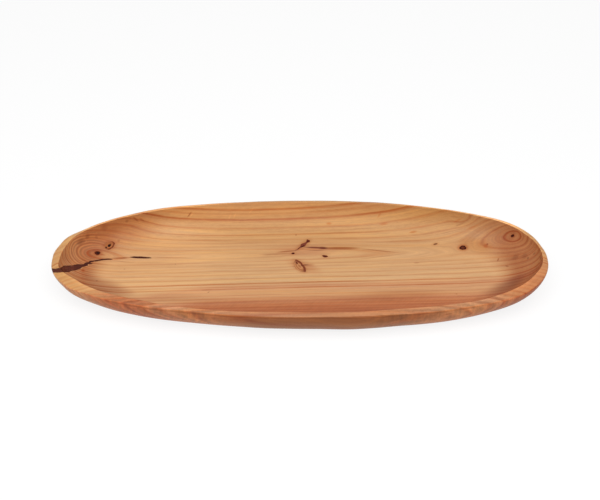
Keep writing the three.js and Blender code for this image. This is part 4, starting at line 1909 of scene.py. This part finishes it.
@dataclass
class ServingTray:
    """The carved block with its filler, its dead knots and the ends of its pith."""

    form: TrayForm
    maker: InsertMaker = field(default_factory=InsertMaker)
    crack: EndCrack = field(default_factory=EndCrack)
    crack_ends: float = -0.25
    crack_least: float = 0.03
    core_depth: float = 2.6
    check_half: float = 0.16
    check_depth: float = 1.2
    check_middle: float = 0.55
    check_reach: float = 0.95
    check_turn: float = 25.0
    check_sway: float = 20.0
    sharp_from: float = 32.0

    def carve_block(self) -> Piece:
        """Model the block without its pockets.

        Returns:
            The block.
        """
        block = skin_over("carved_block", TrayCarver(self.form).loops(), capped=False)
        apply_modifier(block, "SUBSURF", {"levels": 1, "render_levels": 1})
        return block

    def crack_blank(self, growth: float) -> Piece:
        """Model the blank of the end crack."""
        return skin_over("end_crack_blank", self.crack.loops(self.form.floor_thickness, growth))

    def core_blank(self, knot: Insert, seat: Seat) -> Piece:
        """Model what hollows out a knot's open core.

        Args:
            knot: The knot.
            seat: Where it sits.

        Returns:
            The blank.
        """
        half_length, half_width, turn = knot.open_core
        core = Insert(f"{knot.name}_core", knot.x, knot.y, half_length, half_width, turn, self.core_depth)
        return self.maker.plug(core, seat, 0.0)

    def check_blanks(self, knot: Insert, seat: Seat) -> list[Piece]:
        """Args:
            knot: The knot.
            seat: Where it sits.

        Returns:
            The wedges.
        """
        blanks = []
        reach = knot.half_width * self.check_middle
        for number in range(knot.checks):
            sway = self.check_sway * math.sin(knot.x + number)
            turn = knot.turn + self.check_turn + 360.0 / knot.checks * number + sway
            middle = seat.frame(turn) @ (Vector((reach, 0.0, 0.0)) * MM)
            half = reach * self.check_reach
            check = Insert(f"{knot.name}_check", 0.0, 0.0, half, self.check_half, turn, self.check_depth)
            blanks.append(self.maker.plug(check, Seat(middle, seat.normal), 0.0))
        return blanks

    def build(self) -> dict[str, Piece]:
        """Model and dress every piece.

        Returns:
            The pieces by name.
        """
        block = self.carve_block()
        inserts = (SPLIT, *KNOTS)
        seats = {insert.name: self.maker.seat_on(block, insert.x, insert.y) for insert in inserts}
        uncut = copied(block, "uncut_block")
        cutters = [self.crack_blank(self.crack.gap)]
        fills = [self.crack_blank(0.0)]
        for insert in inserts:
            cutters.append(self.maker.plug(insert, seats[insert.name], self.maker.clearance))
            fills.append(self.maker.plug(insert, seats[insert.name], 0.0))
        names = [CRACK, *(insert.name for insert in inserts)]
        places = {name: fill.data.vertices[0].co.copy() for name, fill in zip(names, fills)}
        cut_with(block, joined("pockets", cutters), "DIFFERENCE")
        fill = joined("fills", fills)
        cut_with(fill, uncut, "INTERSECT")
        pieces = self.sort_out(fill, places)
        for knot in KNOTS:
            self.open_up(pieces[knot.name], knot, seats[knot.name])
        pieces["tray_body"] = block
        self.dress(pieces, seats)
        return pieces

    def sort_out(self, fill: Piece, places: dict[str, Vector]) -> dict[str, Piece]:
        """Take the joined fills apart and name each one by its place.

        Args:
            fill: All the fills in one object.
            places: A point of each one's blank, by name.

        Returns:
            The fills by name.
        """
        pick_only(fill)
        bpy.ops.object.mode_set(mode="EDIT")
        bpy.ops.mesh.select_all(action="SELECT")
        bpy.ops.mesh.separate(type="LOOSE")
        bpy.ops.object.mode_set(mode="OBJECT")
        pieces: dict[str, Piece] = {}
        for piece in list(bpy.context.selected_objects):
            corners = [vert.co for vert in piece.data.vertices]
            middle = sum(corners, Vector()) / len(corners)
            name = min(places, key=lambda known: (places[known] - middle).length)
            if middle.x < self.crack_ends and piece.dimensions.x > self.crack_least:
                name = CRACK
            if name in pieces:
                LOG.warning("two loose parts at %s", name)
                piece = joined(name, [pieces[name], piece])
            piece.name = name
            pieces[name] = piece
        return pieces

    def open_up(self, piece: Piece, knot: Insert, seat: Seat) -> None:
        """Cut a knot's open core and its checks.

        Args:
            piece: The knot's piece.
            knot: The knot.
            seat: Where it sits.
        """
        blanks = self.check_blanks(knot, seat)
        if knot.open_core:
            blanks.append(self.core_blank(knot, seat))
        for blank in blanks:
            cut_with(piece, blank, "DIFFERENCE")

    def dress(self, pieces: dict[str, Piece], seats: dict[str, Seat]) -> None:
        """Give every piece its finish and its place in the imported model.

        Args:
            pieces: The pieces by name.
            seats: Where each insert sits.
        """
        WoodFinish().dress(pieces["tray_body"], seats)
        for knot in KNOTS:
            KNOT_FINISHES[knot.name].dress(pieces[knot.name], knot, seats[knot.name])
        for name in (CRACK, SPLIT.name):
            FillerFinish().dress(pieces[name])
        for name, piece in pieces.items():
            smooth(piece, self.sharp_from)
            piece.name = f"carved_{name}"
            piece.data.name = piece.name
            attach(piece, BODY)
            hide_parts(name)
            LOG.info("%s: %d faces", piece.name, len(piece.data.polygons))


# The studio


@dataclass(frozen=True)
class Studio:
    """A plain pale floor, soft light from above and the camera."""

    lens: float = 85.0
    sensor: float = 36.0
    look_down: float = 40.0
    distance: float = 1759.0
    target: Triple = (0.25, 37.5, 20.0)
    world_strength: float = 0.4
    lamp_power: float = 14.5
    lamp_place: Triple = (0.0, -600.0, 1150.0)
    lamp_size: tuple[float, float] = (1400.0, 900.0)
    floor_half: float = 4000.0
    floor_drop: float = 0.2
    floor_shadow: float = 0.18
    floor_bounce: float = 0.5
    floor_white: float = 1.02
    floor_lit: float = 0.97

    def set_up_camera(self) -> None:
        """Place the camera at the photograph's viewing angle."""
        tilt = math.radians(self.look_down)
        forward = Vector((0.0, math.cos(tilt), -math.sin(tilt)))
        place = (Vector(self.target) - forward * self.distance) * MM
        bpy.ops.object.camera_add(location=place, rotation=(math.pi / 2.0 - tilt, 0.0, 0.0))
        camera = bpy.context.object
        camera.name = "photograph_camera"
        camera.data.lens = self.lens
        camera.data.sensor_width = self.sensor
        camera.data.sensor_fit = "HORIZONTAL"
        bpy.context.scene.camera = camera

    def set_up_light(self) -> None:
        """Hang one wide lamp over the tray and light the rest from the world."""
        place = Vector(self.lamp_place) * MM
        tilt = math.atan2(-place.y, place.z)
        bpy.ops.object.light_add(type="AREA", location=place, rotation=(tilt, 0.0, 0.0))
        lamp = bpy.context.object
        lamp.name = "softbox"
        lamp.data.shape = "RECTANGLE"
        lamp.data.size = self.lamp_size[0] * MM
        lamp.data.size_y = self.lamp_size[1] * MM
        lamp.data.energy = self.lamp_power
        world = bpy.data.worlds.new("studio")
        bpy.context.scene.world = world
        nodes = FinishNodes(world)
        lit = nodes.node("ShaderNodeBackground", {}, {"Color": WHITE, "Strength": self.world_strength})
        shown = nodes.node("ShaderNodeBackground", {}, {"Color": WHITE, "Strength": 1.0})
        nodes.close_by_view("ShaderNodeOutputWorld", lit, shown)

    def lay_floor(self) -> None:
        """Lay a pale floor that shows white and keeps a soft shadow."""
        bpy.ops.object.select_all(action="DESELECT")
        place = (0.0, 0.0, -self.floor_drop * MM)
        bpy.ops.mesh.primitive_plane_add(size=2.0 * self.floor_half * MM, location=place)
        floor = bpy.context.object
        floor.name = "studio_floor"
        bpy.ops.object.transform_apply(location=True)
        nodes = FinishNodes(bpy.data.materials.new("studio_white"))
        grey = self.floor_bounce
        veil = self.floor_shadow
        matt = nodes.node("ShaderNodeBsdfDiffuse", {}, {"Color": (grey, grey, grey, 1.0)})
        shade = nodes.node("ShaderNodeBsdfDiffuse", {}, {"Color": (veil, veil, veil, 1.0)})
        unlit = self.floor_white - veil * self.floor_lit
        glow = nodes.node("ShaderNodeEmission", {}, {"Color": WHITE, "Strength": unlit})
        shown = nodes.node("ShaderNodeAddShader", {}, {0: shade.outputs[0], 1: glow.outputs[0]})
        nodes.close_by_view("ShaderNodeOutputMaterial", matt, shown)
        nodes.put_on(floor)
        floor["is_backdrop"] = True

    def build(self) -> None:
        """Set up the whole studio."""
        bpy.context.scene.view_settings.view_transform = "Standard"
        self.set_up_camera()
        self.set_up_light()
        self.lay_floor()


def main() -> None:
    """Build the studio and the tray, at the size of the imported model."""
    logging.basicConfig(level=logging.INFO, format="%(message)s")
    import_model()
    cad_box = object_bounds()
    size = (cad_box[1] - cad_box[0]) / MM
    Studio().build()
    ServingTray(TrayForm(length=size.x, width=size.y, height=size.z)).build()


if __name__ == "__main__":
    main()
